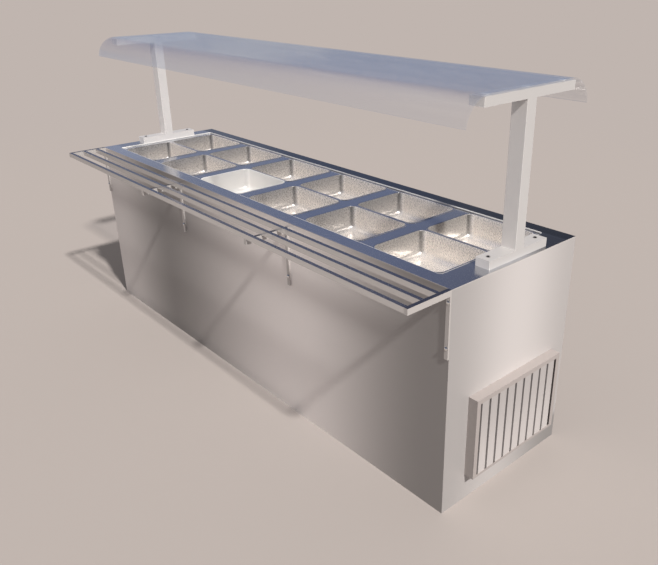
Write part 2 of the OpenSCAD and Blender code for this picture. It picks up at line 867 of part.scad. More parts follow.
// Tray that carries the condensing unit, folded down at its sides
module unit_base() {
    x0 = comp_cx - comp_r - unit_lead;
    w = cond_w + 16;
    color("#6f7276") difference() {
        block([x0, grille_y - w / 2, floor_z], [cond_x1 + 4, grille_y + w / 2, unit_z]);
        block([x0 - cut, grille_y - w / 2 + 2, floor_z - cut],
              [cond_x1 + 4 + cut, grille_y + w / 2 - 2, unit_z - 2]);
    }
}

// Welded steel shell on four rubber feet, with two pipe stubs on top
module compressor() {
    shell = comp_h - 22;
    color("#2d2f33") translate([comp_cx, grille_y, unit_z]) {
        translate([0, 0, 22]) rotate_extrude($fn = 72) intersection() {
            square([comp_r, shell]);
            union() {
                translate([0, 30]) square([comp_r, shell - 85]);
                square([comp_r - 30, 60]);
                translate([comp_r - 30, 30]) circle(30, $fn = 48);
                translate([0, shell - 85]) square([comp_r - 55, 85]);
                translate([comp_r - 55, shell - 55]) circle(55, $fn = 64);
            }
        }
        translate([0, 0, 16]) linear_extrude(8)
            round_rect(2 * (comp_r + plate_edge), 2 * comp_r - plate_edge, 16);
        for (sx = [-1, 1], sy = [-1, 1])
            translate([sx * (comp_r - 4), sy * (comp_r - 20), 0]) cylinder(r = 12, h = 16, $fn = 32);
        for (s = [-1, 1])
            translate([0, s * 40, comp_h - 20]) cylinder(r = pipe_r + 2, h = 20 + stub_h, $fn = 32);
    }
}

// Fin block with its tubes, end plates and two stubs on top
module condenser() {
    y0 = grille_y - cond_w / 2;
    step = (cond_w - 2) / (fin_n - 1);
    rows = 6;
    color("#a7aaad") {
        for (i = [0:fin_n - 1])
            block([cond_x0, y0 + i * step, unit_z], [cond_x1, y0 + i * step + 2, cond_top]);
        for (k = [0:rows - 1])
            translate([cond_port_x, y0, unit_z + (k + 0.5) * cond_h / rows]) rod_y(5, cond_w);
        for (z = [unit_z, cond_top - 2])
            block([cond_x0, y0, z], [cond_x1, y0 + cond_w, z + 2]);
        for (y = [gas_y, liquid_y])
            translate([cond_port_x, y, cond_top - 1])
                cylinder(r = pipe_r + 2, h = stub_h + 1, $fn = 32);
    }
}

module fan_shroud() {
    color("#3a3c40") translate([0, grille_y, fan_z]) difference() {
        union() {
            block([shroud_x, -cond_w / 2, -cond_h / 2], [shroud_x + shroud_t, cond_w / 2, cond_h / 2]);
            translate([shroud_x - ring_d, 0, 0]) rod_x(ring_r, ring_d);
        }
        translate([shroud_x - ring_d - cut, 0, 0])
            rod_x(ring_r - 2, ring_d + shroud_t + 2 * cut);
    }
}

// Motor with three flat arms that reach the rim of the shroud
module fan_motor() {
    color("#55585c") translate([motor_x, grille_y, fan_z]) {
        translate([-motor_l, 0, 0]) rod_x(motor_r, motor_l);
        rod_x(shaft_r, ring_d);
        for (a = [0, 120, 240])
            rotate([a, 0, 0]) translate([-1, -9, motor_r / 2])
                cube([5, 18, ring_r - motor_r / 2]);
    }
}

module condenser_fan() {
    color("#d5d7d9") translate([fan_x, grille_y, fan_z]) difference() {
        union() {
            translate([-hub_l / 2, 0, 0]) rod_x(hub_r, hub_l);
            intersection() {
                translate([1 - ring_d / 2, 0, 0]) rod_x(fan_r, ring_d - 2);
                for (i = [0:blade_n - 1])
                    rotate([360 / blade_n * i, 0, 0]) rotate([0, 0, 28])
                        translate([-blade_t / 2, -blade_w / 2, hub_r / 2])
                        cube([blade_t, blade_w, fan_r]);
            }
        }
        translate([-ring_d, 0, 0]) rod_x(shaft_r + run_gap, 2 * ring_d);
    }
}

module refrigerant_pipes() {
    color("#b5713f") {
        pipe_run([
            [comp_cx, gas_y, comp_top + stub_h],
            [comp_cx, gas_y, pipe_top],
            [cond_port_x, gas_y, pipe_top],
            [cond_port_x, gas_y, cond_top + stub_h]
        ], pipe_r);
        pipe_run([
            [cond_port_x, liquid_y, cond_top + stub_h],
            [cond_port_x, liquid_y, pipe_high],
            [coil_x, liquid_y, pipe_high],
            [coil_x, liquid_y, coil_end_z]
        ], pipe_r);
        pipe_run([
            [coil_x, suction_y, coil_end_z],
            [coil_x, suction_y, pipe_high],
            [comp_cx, suction_y, pipe_high],
            [comp_cx, return_y, pipe_high],
            [comp_cx, return_y, comp_top + stub_h]
        ], pipe_r);
    }
}

// Knuckle of a hinge at height z, over a share of the hinge's length
module knuckle(z, h, bore) {
    translate([hinge_x, hinge_y, z]) difference() {
        cylinder(r = knuckle_r, h = h, $fn = 48);
        translate([0, 0, -cut]) cylinder(r = bore, h = h + 2 * cut, $fn = 48);
    }
}

// Folded door with louvres, carrying the upper knuckle of each hinge
module service_door() {
    y0 = back_y - door_d;
    louvre_x = (door_x0 + door_x1) / 2 + 10;
    louvre_step = (door_h - 2 * louvre_margin) / (louvre_n - 1);
    color("#aaa39d") difference() {
        union() {
            difference() {
                block([door_x0, y0, door_z], [door_x1, back_y, door_z + door_h]);
                block([door_x0 + sheet_t, y0 - cut, door_z + sheet_t],
                      [door_x1 - sheet_t, back_y - sheet_t, door_z + door_h - sheet_t]);
            }
            for (k = [0:louvre_n - 1])
                translate([louvre_x - louvre_l / 2, back_y, door_z + louvre_margin + k * louvre_step])
                    louvre_hood();
            for (z = hinge_z) {
                block([hinge_x - leaf_w, back_y, z + hinge_l / 2 + pass_gap],
                      [hinge_x, back_y + leaf_t, z + hinge_l]);
                knuckle(z + hinge_l / 2 + pass_gap, hinge_l / 2 - pass_gap, pin_r + run_gap);
            }
        }
        for (k = [0:louvre_n - 1])
            translate([louvre_x - louvre_l / 2 + sheet_t, back_y - sheet_t - cut,
                       door_z + louvre_margin + k * louvre_step])
                cube([louvre_l - 2 * sheet_t, sheet_t + cut, 9]);
        for (z = hinge_z) translate([hinge_x, hinge_y, z])
            cylinder(r = pin_r + run_gap, h = hinge_l + cut, $fn = 48);
        translate([lock_x, back_y - sheet_t - cut, lock_z]) rod_y(lock_r + run_gap, sheet_t + 2 * cut);
    }
}

// Pressed hood over one louvre slot, closed at its ends and open below
module louvre_hood() {
    rotate([90, 0, 90]) difference() {
        linear_extrude(louvre_l) polygon([[-0.5, 14], [0, 14], [8, 3], [8, 0], [-0.5, 0]]);
        translate([0, 0, sheet_t]) linear_extrude(louvre_l - 2 * sheet_t)
            polygon([[-1, 11.5], [0, 11.5], [8 - sheet_t, 2.5], [8 - sheet_t, -1], [-1, -1]]);
    }
}

// Fixed leaves and pins of the two door hinges
module door_hinges() {
    color("#b8b8b6") for (z = hinge_z) {
        difference() {
            union() {
                block([hinge_x, back_y, z], [hinge_x + leaf_w, back_y + leaf_t, z + hinge_l / 2]);
                knuckle(z, hinge_l / 2, 0.5 * pin_r);
            }
            translate([hinge_x, hinge_y, z - cut]) cylinder(r = pin_r, h = hinge_l / 2 + 2 * cut, $fn = 48);
        }
        translate([hinge_x, hinge_y, z]) cylinder(r = pin_r, h = hinge_l + 3, $fn = 48);
    }
}

// Quarter-turn lock: wing outside, cam tongue inside, shown unlocked
module door_lock() {
    reach = lock_x - door_x0 + door_gap + 14;
    color("#5b5d60") translate([lock_x, back_y, lock_z]) {
        translate([0, -door_d - 4, 0]) rod_y(lock_r, door_d + 6);
        translate([0, pass_gap, 0]) rod_y(lock_r + 4, 4);
        block([-4, pass_gap, -lock_r - 4], [4, 14, lock_r + 4]);
        translate([0, -door_d - 4, 0]) block([-7, 0, 0], [7, 3, reach]);
    }
}

module control_panel() {
    color("#3d4044") {
        difference() {
            block([panel_cx - panel_w / 2, back_y, panel_cz - panel_h / 2],
                  [panel_cx + panel_w / 2, back_y + panel_t, panel_cz + panel_h / 2]);
            translate([panel_cx, back_y - cut, switch_z])
                block([-rocker_l / 2 - pass_gap, 0, -rocker_r - pass_gap],
                      [rocker_l / 2 + pass_gap, panel_t + 2 * cut, rocker_r + pass_gap]);
        }
        translate([panel_cx, back_y - 4, knob_z]) rod_y(3, 4 + panel_t + 14);
    }
}

module control_box() {
    y0 = back_y - sheet_t - box_d;
    x = panel_w / 2 - 5;
    z = panel_h / 2 - 5;
    color("#77797c") difference() {
        block([panel_cx - x, y0, panel_cz - z], [panel_cx + x, back_y - sheet_t, panel_cz + z]);
        block([panel_cx - x + sheet_t, y0 + sheet_t, panel_cz - z + sheet_t],
              [panel_cx + x - sheet_t, back_y, panel_cz + z - sheet_t]);
    }
}

// Rocker tilted to its off side, turning about an axis along X
module power_switch() {
    color("#1d1d1f") translate([panel_cx, rocker_y, switch_z]) rotate([rocker_tilt, 0, 0])
        difference() {
            translate([-rocker_l / 2, 0, 0]) rod_x(rocker_r, rocker_l);
            translate([-rocker_l / 2 - cut, 3.2, -rocker_r - cut])
                cube([rocker_l + 2 * cut, rocker_r, 2 * (rocker_r + cut)]);
        }
}

module thermostat_knob() {
    color("#26272a") translate([panel_cx, knob_y, knob_z]) difference() {
        union() {
            rod_y(knob_r, 5);
            rod_y(knob_r - 5, knob_l);
            block([-3, 0, 0], [3, knob_l + 2, knob_r - 1]);
        }
        translate([0, -cut, 0]) rod_y(3 + run_gap, 15 + cut);
    }
}

module cable_gland() {
    color("#2a2a2c") translate([gland_x, back_y, gland_z]) difference() {
        union() {
            rod_y(cable_r + 8, 6);
            rod_y(cable_r + 5, 20);
            translate([0, -sheet_t - 10, 0]) rod_y(cable_r + 3.7, sheet_t + 10);
        }
        translate([0, -30, 0]) rod_y(cable_r, 60);
    }
}

// Rings of one pan wall from its floor up; t is the wall's inset from outside
function pan_wall(t) = [
    for (b = [90:-30:0])
        let (f = pan_fillet - t,
             s = pan_draft + t + f * (1 - cos(b)),
             z = t + f * (1 - sin(b)))
        ring(pan_out_l - 2 * s, pan_out_w - 2 * s, max(8, pan_r - t - f * (1 - cos(b))), z)
];
pan_out_l = pan_l - 2 * pan_rim + 2 * pan_t;
pan_out_w = pan_w - 2 * pan_rim + 2 * pan_t;

function backwards(list) = [for (i = [len(list) - 1:-1:0]) list[i]];

// One lift-out pan: drawn shell with a flat rim. Pans run column by column
// from the left, front row first.
module pan(n) {
    i = n - 1;
    seat = pan_h - pan_t;
    if (i < 2 * pan_cols) translate([pan_x[floor(i / 2)], pan_y[i % 2], pan_z])
        color(n == 5 ? "#e6e4e0" : "#bdbab4")
        loft(concat(
            pan_wall(0),
            [ring(pan_out_l, pan_out_w, pan_r + pan_t, seat),
             ring(pan_l, pan_w, pan_r + pan_rim, seat),
             ring(pan_l, pan_w, pan_r + pan_rim, pan_h),
             ring(pan_out_l - 2 * pan_t, pan_out_w - 2 * pan_t, pan_r, pan_h)],
            backwards(pan_wall(pan_t))
        ));
}

plinth();
floor_pan();
frame_posts();
top_frame();
front_panel();
left_end_panel();
right_end_panel();
rear_panel();
worktop();
well_tank();
tank_foam();
cooling_coil();
drain_pipe();
drain_valve();
valve_lever();
gantry_base(-1);  // gantry_base_left
gantry_base(1);  // gantry_base_right
gantry_post(-1);  // gantry_post_left
gantry_post(1);  // gantry_post_right
gantry_screws();
canopy();
canopy_pads();
tray_rail(0);  // tray_rail_front
tray_rail(1);  // tray_rail_middle
tray_rail(2);  // tray_rail_back
bracket(0);  // bracket_1
bracket(1);  // bracket_2
bracket(2);  // bracket_3
bracket(3);  // bracket_4
bracket_bolts();
grille_frame();
grille_slats();
grille_screws();
unit_base();
compressor();
condenser();
fan_shroud();
fan_motor();
condenser_fan();
refrigerant_pipes();
service_door();
door_hinges();
door_lock();
control_panel();
control_box();
power_switch();
thermostat_knob();
cable_gland();
pan(1);  // pan_1
pan(2);  // pan_2
pan(3);  // pan_3
pan(4);  // pan_4
pan(5);  // pan_5
pan(6);  // pan_6
pan(7);  // pan_7
pan(8);  // pan_8
pan(9);  // pan_9
pan(10);  // pan_10
pan(11);  // pan_11
pan(12);  // pan_12
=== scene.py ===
# %% [markdown]
# # A self-service buffet counter
# A steel cabinet holds twelve food pans in a sunken well. A clear canopy on two
# posts keeps the food covered, and three rails along the front carry the trays.
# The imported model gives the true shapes. This lesson adds the finishes, the
# light and the few pieces whose soft curves read better as smooth meshes.

# %% Load the frame
import json
import math
import bpy
import bmesh
from mathutils import Matrix, Vector


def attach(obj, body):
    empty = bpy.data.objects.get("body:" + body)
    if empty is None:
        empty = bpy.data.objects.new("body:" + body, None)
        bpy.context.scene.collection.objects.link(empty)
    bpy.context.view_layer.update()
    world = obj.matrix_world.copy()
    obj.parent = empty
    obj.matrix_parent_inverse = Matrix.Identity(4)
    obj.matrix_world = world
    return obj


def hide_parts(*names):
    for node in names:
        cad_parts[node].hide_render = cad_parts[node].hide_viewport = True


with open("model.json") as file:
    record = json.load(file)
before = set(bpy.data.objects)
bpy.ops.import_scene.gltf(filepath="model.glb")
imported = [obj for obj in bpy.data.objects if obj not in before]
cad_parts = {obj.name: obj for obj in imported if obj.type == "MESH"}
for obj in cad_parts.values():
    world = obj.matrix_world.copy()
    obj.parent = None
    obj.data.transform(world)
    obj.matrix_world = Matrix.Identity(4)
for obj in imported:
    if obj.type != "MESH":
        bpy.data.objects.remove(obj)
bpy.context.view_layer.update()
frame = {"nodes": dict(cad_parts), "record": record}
nodes = frame["nodes"]

# %% [markdown]
# ## The camera
# The photograph was taken from the right-hand front corner, a little above the
# canopy. Where the counter's straight edges meet far away gives the angle, and
# a small sideways shift stands in for the way the picture was cropped.

# %% Camera
AZIMUTH = 47.87
ELEVATION = 23.87
ROLL = -0.395
lens_data = bpy.data.cameras.new("photo_camera")
lens_data.lens = 38.32
lens_data.sensor_width = 36.0
lens_data.sensor_fit = "HORIZONTAL"
lens_data.shift_x = -0.0591
lens_data.shift_y = -0.0112
camera = bpy.data.objects.new("photo_camera", lens_data)
bpy.context.scene.collection.objects.link(camera)
turn = (Matrix.Rotation(math.radians(AZIMUTH), 4, "Z")
        @ Matrix.Rotation(math.radians(90 - ELEVATION), 4, "X")
        @ Matrix.Rotation(math.radians(ROLL), 4, "Z"))
camera.matrix_world = Matrix.Translation((2.45215, -1.7671, 1.72801)) @ turn
bpy.context.scene.camera = camera
bpy.context.scene.view_settings.view_transform = "Standard"
print("camera at", [round(v, 3) for v in camera.location])

# %% [markdown]
# ## Shader maths as expressions
# A material is a small sum over noises and places. Writing `1 - mask * 0.3` is
# easier to read than three Math nodes, so a wire wraps a socket and each sign
# adds the node that does the same.

# %% A wire
class Wire:
    """A node's output that can be used in a sum."""

    def __init__(self, socket):
        self.socket = socket

    def sum(self, kind, first, second):
        tree = self.socket.id_data
        step = tree.nodes.new("ShaderNodeMath")
        step.operation = kind
        for slot, value in zip(step.inputs, (first, second)):
            if isinstance(value, Wire):
                tree.links.new(value.socket, slot)
            else:
                slot.default_value = value
        return Wire(step.outputs[0])

    def __add__(self, other):
        return self.sum("ADD", self, other)

    def __radd__(self, other):
        return self.sum("ADD", other, self)

    def __sub__(self, other):
        return self.sum("SUBTRACT", self, other)

    def __rsub__(self, other):
        return self.sum("SUBTRACT", other, self)

    def __mul__(self, other):
        return self.sum("MULTIPLY", self, other)

    def __rmul__(self, other):
        return self.sum("MULTIPLY", other, self)

    def __pow__(self, other):
        return self.sum("POWER", self, other)


print("a wire knows the signs + - * **")

# %% [markdown]
# ## One method for every other node
# A recipe holds a material's or the world's nodes. Its one method takes a node's
# type, its settings, and the values or wires of its sockets.

# %% A recipe
class Recipe:
    """A node tree and the one method that puts a node in it."""

    def __init__(self, owner):
        owner.use_nodes = True
        self.owner = owner
        self.tree = owner.node_tree
        self.tree.nodes.clear()

    def node(self, kind, settings, sockets, output=0):
        made = self.tree.nodes.new("ShaderNode" + kind)
        for name, value in settings.items():
            setattr(made, name, value)
        for name, value in sockets.items():
            if isinstance(value, Wire):
                self.tree.links.new(value.socket, made.inputs[name])
            else:
                made.inputs[name].default_value = value
        return Wire(made.outputs[output]) if len(made.outputs) else made


def new_recipe(name):
    return Recipe(bpy.data.materials.new(name))


print("recipe ready")

# %% [markdown]
# ## Places, directions and tones
# Most finishes ask the same few things: where on the piece a point is, in which
# direction the surface looks there, and how far a value is between two others.

# %% Places, directions and tones
def parts(mix, vector):
    """A vector's X, Y and Z as three wires."""
    split = mix.node("SeparateXYZ", {}, {"Vector": vector}).socket.node.outputs
    return Wire(split["X"]), Wire(split["Y"]), Wire(split["Z"])


def facing(mix):
    """The direction that the surface looks in, as three wires."""
    return parts(mix, mix.node("TexCoord", {}, {}, "Normal"))


def ramp(mix, value, start, end):
    """A soft step from 0 at `start` to 1 at `end`."""
    return mix.node("MapRange", {"interpolation_type": "SMOOTHSTEP"},
                    {"Value": value, "From Min": start, "From Max": end})


def blended(mix, factor, first, second):
    """A colour between two: the first at factor 0, the second at factor 1."""
    return mix.node("Mix", {"data_type": "RGBA"}, {"Factor": factor, 6: first, 7: second}, 2)


def scaled(mix, colour, factor):
    """A colour times a number."""
    return mix.node("VectorMath", {"operation": "SCALE"}, {0: colour, "Scale": factor})


def shades(colour, darker, paler):
    """A darker and a paler tone of one colour."""
    low = [c * darker for c in colour] + [1]
    high = [min(1.0, c * paler) for c in colour] + [1]
    return low, high


print("place and tone helpers ready")

# %% [markdown]
# ## The room
# The photograph's ground is one warm grey, with no edge between floor and
# wall. The sheet steel mirrors a blue sky, darker higher up, so only mirrored
# rays see that sky. The camera sees the plain warm grey, and all other rays see
# an even soft light.

# %% World
BACKDROP = (0.527, 0.462, 0.429, 1)
SOFT_LIGHT = (0.32, 0.315, 0.325, 1)
LOW_BLUE = (0.26, 0.31, 0.42, 1)
HIGH_BLUE = (0.10, 0.13, 0.26, 1)
DUSK_BLUE = (0.035, 0.045, 0.095, 1)
WARM_HAZE = (0.38, 0.31, 0.29, 1)
CLOUD_GREY = (0.46, 0.47, 0.51, 1)
world = bpy.data.worlds.new("room")
bpy.context.scene.world = world
room = Recipe(world)
direction = room.node("TexCoord", {}, {}, "Generated")
east, _, height = parts(room, direction)
puffs = room.node("TexNoise", {}, {"Vector": direction, "Scale": 3.2, "Detail": 5.0, "Roughness": 0.6})
cloud = ramp(room, puffs, 0.52, 0.66)
low_sky = room.node("MapRange", {}, {"Value": height, "From Min": 0.02, "From Max": 0.45})
blue = blended(room, low_sky, LOW_BLUE, HIGH_BLUE)
high = room.node("MapRange", {}, {"Value": height, "From Min": 0.16, "From Max": 0.26})
dusk = ramp(room, east, -0.72, -0.50)
warm = ramp(room, east, -0.88, -0.95)
blue = blended(room, high * dusk * 0.8, blue, DUSK_BLUE)
blue = blended(room, high * warm * 0.7, blue, WARM_HAZE)
sky = blended(room, cloud * 0.45, blue, CLOUD_GREY)
ground = room.node("MapRange", {}, {"Value": height, "From Min": -0.03, "From Max": 0.01})
mirrored = blended(room, ground, BACKDROP, sky)
path = room.node("LightPath", {}, {}, "Is Camera Ray")
shine = Wire(path.socket.node.outputs["Is Glossy Ray"])
soft = blended(room, shine, SOFT_LIGHT, mirrored)
seen = blended(room, path, soft, BACKDROP)
glow = room.node("Background", {}, {"Color": seen, "Strength": 1.0})
room.node("OutputWorld", {}, {"Surface": glow})
print("world nodes:", len(room.tree.nodes))

# %% [markdown]
# ## The sun
# The sun stands high beyond the right-hand end. It grazes the front, so the
# tray brackets throw long slanting shadows down the panel, as in the photograph.

# %% Sun
sun_data = bpy.data.lights.new("sun", "SUN")
sun_data.energy = 4.2
sun_data.angle = math.radians(3.0)
sun_data.color = (1.0, 0.965, 0.93)
sun = bpy.data.objects.new("sun", sun_data)
bpy.context.scene.collection.objects.link(sun)
sun.rotation_mode = "QUATERNION"
sun.rotation_quaternion = Vector((-0.816, 0.150, -0.833)).to_track_quat("-Z", "Y")
print("sun strength", sun_data.energy)

# %% [markdown]
# ## The floor
# One wide disc carries the object's shadow. Far out it glows in the backdrop's
# own colour, so that no edge shows. The camera and mirrored rays see its pale
# grey. The light that it gives back to the counter comes from a darker grey, so
# that the counter isn't lit much from below.

# %% Floor
FLOOR_RADIUS = 30.0
FLOOR_SEEN = (0.425, 0.382, 0.358, 1)
FLOOR_BOUNCE = (0.16, 0.155, 0.155, 1)
bpy.ops.object.select_all(action="DESELECT")
bpy.ops.mesh.primitive_circle_add(vertices=96, radius=FLOOR_RADIUS, fill_type="NGON", location=(0, 0, 0))
floor = bpy.context.object
floor.name = "floor"
plain = new_recipe("warm_grey_floor")
spot = plain.node("TexCoord", {}, {}, "Object")
reach = plain.node("VectorMath", {"operation": "LENGTH"}, {"Vector": spot}, "Value")
far = ramp(plain, reach, 2.5, 7.0)
looked_at = plain.node("LightPath", {}, {}, "Is Camera Ray")
rays = looked_at.socket.node.outputs
shown = looked_at + Wire(rays["Is Glossy Ray"]) + Wire(rays["Is Transmission Ray"])
tone = blended(plain, shown, FLOOR_BOUNCE, FLOOR_SEEN)
matt = plain.node("BsdfDiffuse", {}, {"Color": tone})
even = plain.node("Emission", {}, {"Color": BACKDROP, "Strength": 1.0})
blend = plain.node("MixShader", {}, {"Fac": far, 1: matt, 2: even})
plain.node("OutputMaterial", {}, {"Surface": blend})
floor.data.materials.append(plain.owner)
print("floor radius:", FLOOR_RADIUS, "m")

# %% [markdown]
# ## Soft bands on the cabinet
# Satin sheet mirrors its surroundings as wide soft bands, which a plain scene
# doesn't hold, so they are painted here as painted reflection and painted shade.
# Each band is written as a factor on the colour, by the place on the piece and by
# the way that the surface looks, so it stays put in every view.

# %% Painted light on the cabinet and the worktop
def cabinet_painted_light(mix, place):
    """Painted reflection and painted shade: a dark band left of the middle of the long
    sides, a bright one right of it, and one bright band across the ends, which are
    dull at the foot."""
    x, y, z = parts(mix, place)
    sideways = facing(mix)[0]
    end = sideways * sideways
    side = ramp(mix, x, -0.66, 0.42) * 0.84 - ramp(mix, x, 0.44, 1.16) * 0.76 + 0.34
    side = side + ramp(mix, x, -0.58, -1.16) * 0.52
    across = ramp(mix, y, -0.33, 0.02) * 0.29 - ramp(mix, y, 0.04, 0.34) * 0.21 + 0.53
    foot = 1.0 - ramp(mix, z, 0.085, 0.125)
    across = across * (1.0 - foot * ramp(mix, y, -0.25, 0.30) * 0.42)
    return side * (1.0 - end) + across * end


def ledge_painted_light(mix, place):
    """Painted reflection: the ledges behind and right of the pans mirror a darker part
    of the sky, and the left end of the front ledge a paler one."""
    x, y, _ = parts(mix, place)
    behind = ramp(mix, y, 0.262, 0.276)
    back = behind * (ramp(mix, x, -1.1, -0.2) * 0.16 + 0.68)
    right = ramp(mix, x, 1.128, 1.136) * ramp(mix, y, 0.0, 0.2) * 0.73
    front = ramp(mix, y, -0.24, -0.27) * ramp(mix, x, -0.60, -1.10) * 0.35
    return (1.0 - back) * (1.0 - right * (1.0 - behind)) + front


print("bands: cabinet, ledges")

# %% [markdown]
# ## Soft bands in the pans
# A pressed pan mirrors its own walls, and that is painted onto its colour. Painted
# shade makes the short left wall dull, most of all near its rim, and the rounded
# corner beside it the darkest of all, and a painted highlight lifts the long back
# wall. The long back wall and the floor are so even that their grain hardly shows.

# %% Painted light in the pans
def pan_painted_light(mix, place):
    """Painted shade on the dull left wall and the dark corner, painted highlight on the brighter back
    wall.
    """
    x, y, _ = facing(mix)
    height_up = parts(mix, place)[2]
    corner = ramp(mix, x * y * -2.0, 0.45, 0.90)
    left = ramp(mix, x, 0.28, 0.80) * (ramp(mix, height_up, 0.77, 0.845) * 0.16 + 0.44)
    return 1.0 - left + ramp(mix, y, -0.45, -0.95) * 0.14 - corner * 0.24


def pan_calm(mix, place):
    """How much of the grain is left: less on the back wall and the floor."""
    _, y, z = facing(mix)
    return 1.0 - ramp(mix, y, -0.55, -0.95) * 0.55 - ramp(mix, z, 0.60, 0.95) * 0.45


def fresh_painted_light(mix, place):
    """A new pan is white satin, with only a soft painted shade on its left wall."""
    return 1.12 - ramp(mix, facing(mix)[0], 0.20, 0.90) * 0.42


print("bands: pans, fresh pan")

# %% [markdown]
# ## Light on the rails, the posts and the slats
# Three finishes carry painted light and painted shade, which change a little from
# place to place: along the rails, from face to face of the posts, and from slat to slat.

# %% Painted light on rails, posts and slats
def rail_painted_shade(mix, place):
    """Painted shade: the rails' upright faces are duller at the left."""
    return ramp(mix, parts(mix, place)[0], -0.60, 0.10) * 0.22 + 0.78


def gantry_painted_light(mix, place):
    """Painted light: front and back faces of the white posts are a little paler than
    the rest, and so is all of the left-hand post."""
    y = facing(mix)[1]
    left = ramp(mix, parts(mix, place)[0], -1.0, -1.1)
    return y * y * 0.50 + 0.66 + left * 0.14


def slat_painted_light(mix, place):
    """Painted light: the lower slats are paler than the upper ones, as if they caught more light."""
    return 1.20 - ramp(mix, parts(mix, place)[2], 0.10, 0.42) * 0.30


print("light: rails, posts, slats")

# %% [markdown]
# ## Sheet steel
# The cabinet, worktop, rails and pans are stainless sheet. Rolling and brushing
# leave fine parallel lines that stretch every highlight across them. A noise
# that is squeezed along one axis gives the lines, and a second, wide noise gives
# the uneven look of wiped steel. Both nudge the colour and the gloss, and the
# lines also make the bump. On top, some finishes carry painted light and shade.

# %% Steel recipe
EDGE_METAL = 0.35
RIM_METAL, RIM_GLOSS, RIM_TOP = 0.95, 0.20, 0.8453


def steel(name, colour, metallic, roughness, lines=(3, 3, 260), streak=0.06, wipe=0.08, bump=0.02,
          painted_light=None, edge=None, edge_painted_light=None, side_metal=None, calm=None, rim=None):
    """Brushed sheet. `lines` is the number of lines per metre along each axis. A
    painted-light factor, where given, scales the colour with painted light and shade.
    `edge` is the paler satin colour of cut edges and upright faces, so that tops and
    uprights are two tones of one steel, which is painted reflection, and the uprights
    can have a painted-light factor of their own. `side_metal` is how metallic the faces
    are that don't look along X, `calm` says where the lines fade, and `rim` is the
    colour of a flat rim that mirrors the sky, whose tone is partly painted reflection."""
    mix = new_recipe(name)
    place = mix.node("TexCoord", {}, {}, "Object")
    drawn = mix.node("VectorMath", {"operation": "MULTIPLY"}, {0: place, 1: lines})
    line = mix.node("TexNoise", {}, {"Vector": drawn, "Scale": 1.0, "Detail": 4.0, "Roughness": 0.7})
    cloudy = mix.node("TexNoise", {}, {"Vector": place, "Scale": 2.7, "Detail": 3.0, "Roughness": 0.55})
    if calm:
        line = (line - 0.5) * calm(mix, place) + 0.5
    tone = (line - 0.5) * streak + (cloudy - 0.5) * (streak * 0.6) + 0.5
    low, high = shades(colour, 0.86, 1.14)
    sheet = blended(mix, tone, low, high)
    # Painted light and shade: a factor that scales the colour.
    if painted_light:
        sheet = scaled(mix, sheet, painted_light(mix, place))
    # Tops and upright faces get two tones of one steel: painted reflection.
    if edge:
        up = facing(mix)[2]
        flat = ramp(mix, up * up, 0.3, 0.8)
        upright = list(edge) + [1]
        if edge_painted_light:
            upright = scaled(mix, edge, edge_painted_light(mix, place))
        sheet = blended(mix, flat, upright, sheet)
        metallic = flat * (metallic - EDGE_METAL) + EDGE_METAL
    if side_metal:
        sideways = facing(mix)[0]
        metallic = sideways * sideways * (metallic - side_metal) + side_metal
    gloss = (cloudy - 0.5) * wipe + (line - 0.5) * (streak * 1.5) + roughness
    # The rim really mirrors the sky; its darker, cooler colour is painted reflection on top.
    if rim:
        up = facing(mix)[2]
        height_up = parts(mix, place)[2]
        lip = ramp(mix, up * up, 0.5, 0.9) * ramp(mix, height_up, RIM_TOP - 0.0012, RIM_TOP - 0.0006)
        sheet = blended(mix, lip, sheet, list(rim) + [1])
        metallic = lip * (RIM_METAL - metallic) + metallic
        gloss = (gloss - RIM_GLOSS) * (1.0 - lip) + RIM_GLOSS
    relief = mix.node("Bump", {}, {"Height": line, "Strength": bump, "Distance": 0.001})
    skin = mix.node("BsdfPrincipled", {}, {"Base Color": sheet, "Metallic": metallic,
                                           "Roughness": gloss, "Normal": relief})
    mix.node("OutputMaterial", {}, {"Surface": skin})
    return mix.owner


print("steel recipe ready")

# %% [markdown]
# ## The metals
# A finish has the name of the record's slot that it dresses. Of the metals, only
# the rolled edge round the recess has a name of its own, since it is painted paler
# than the worktop that it belongs to, as a painted highlight.

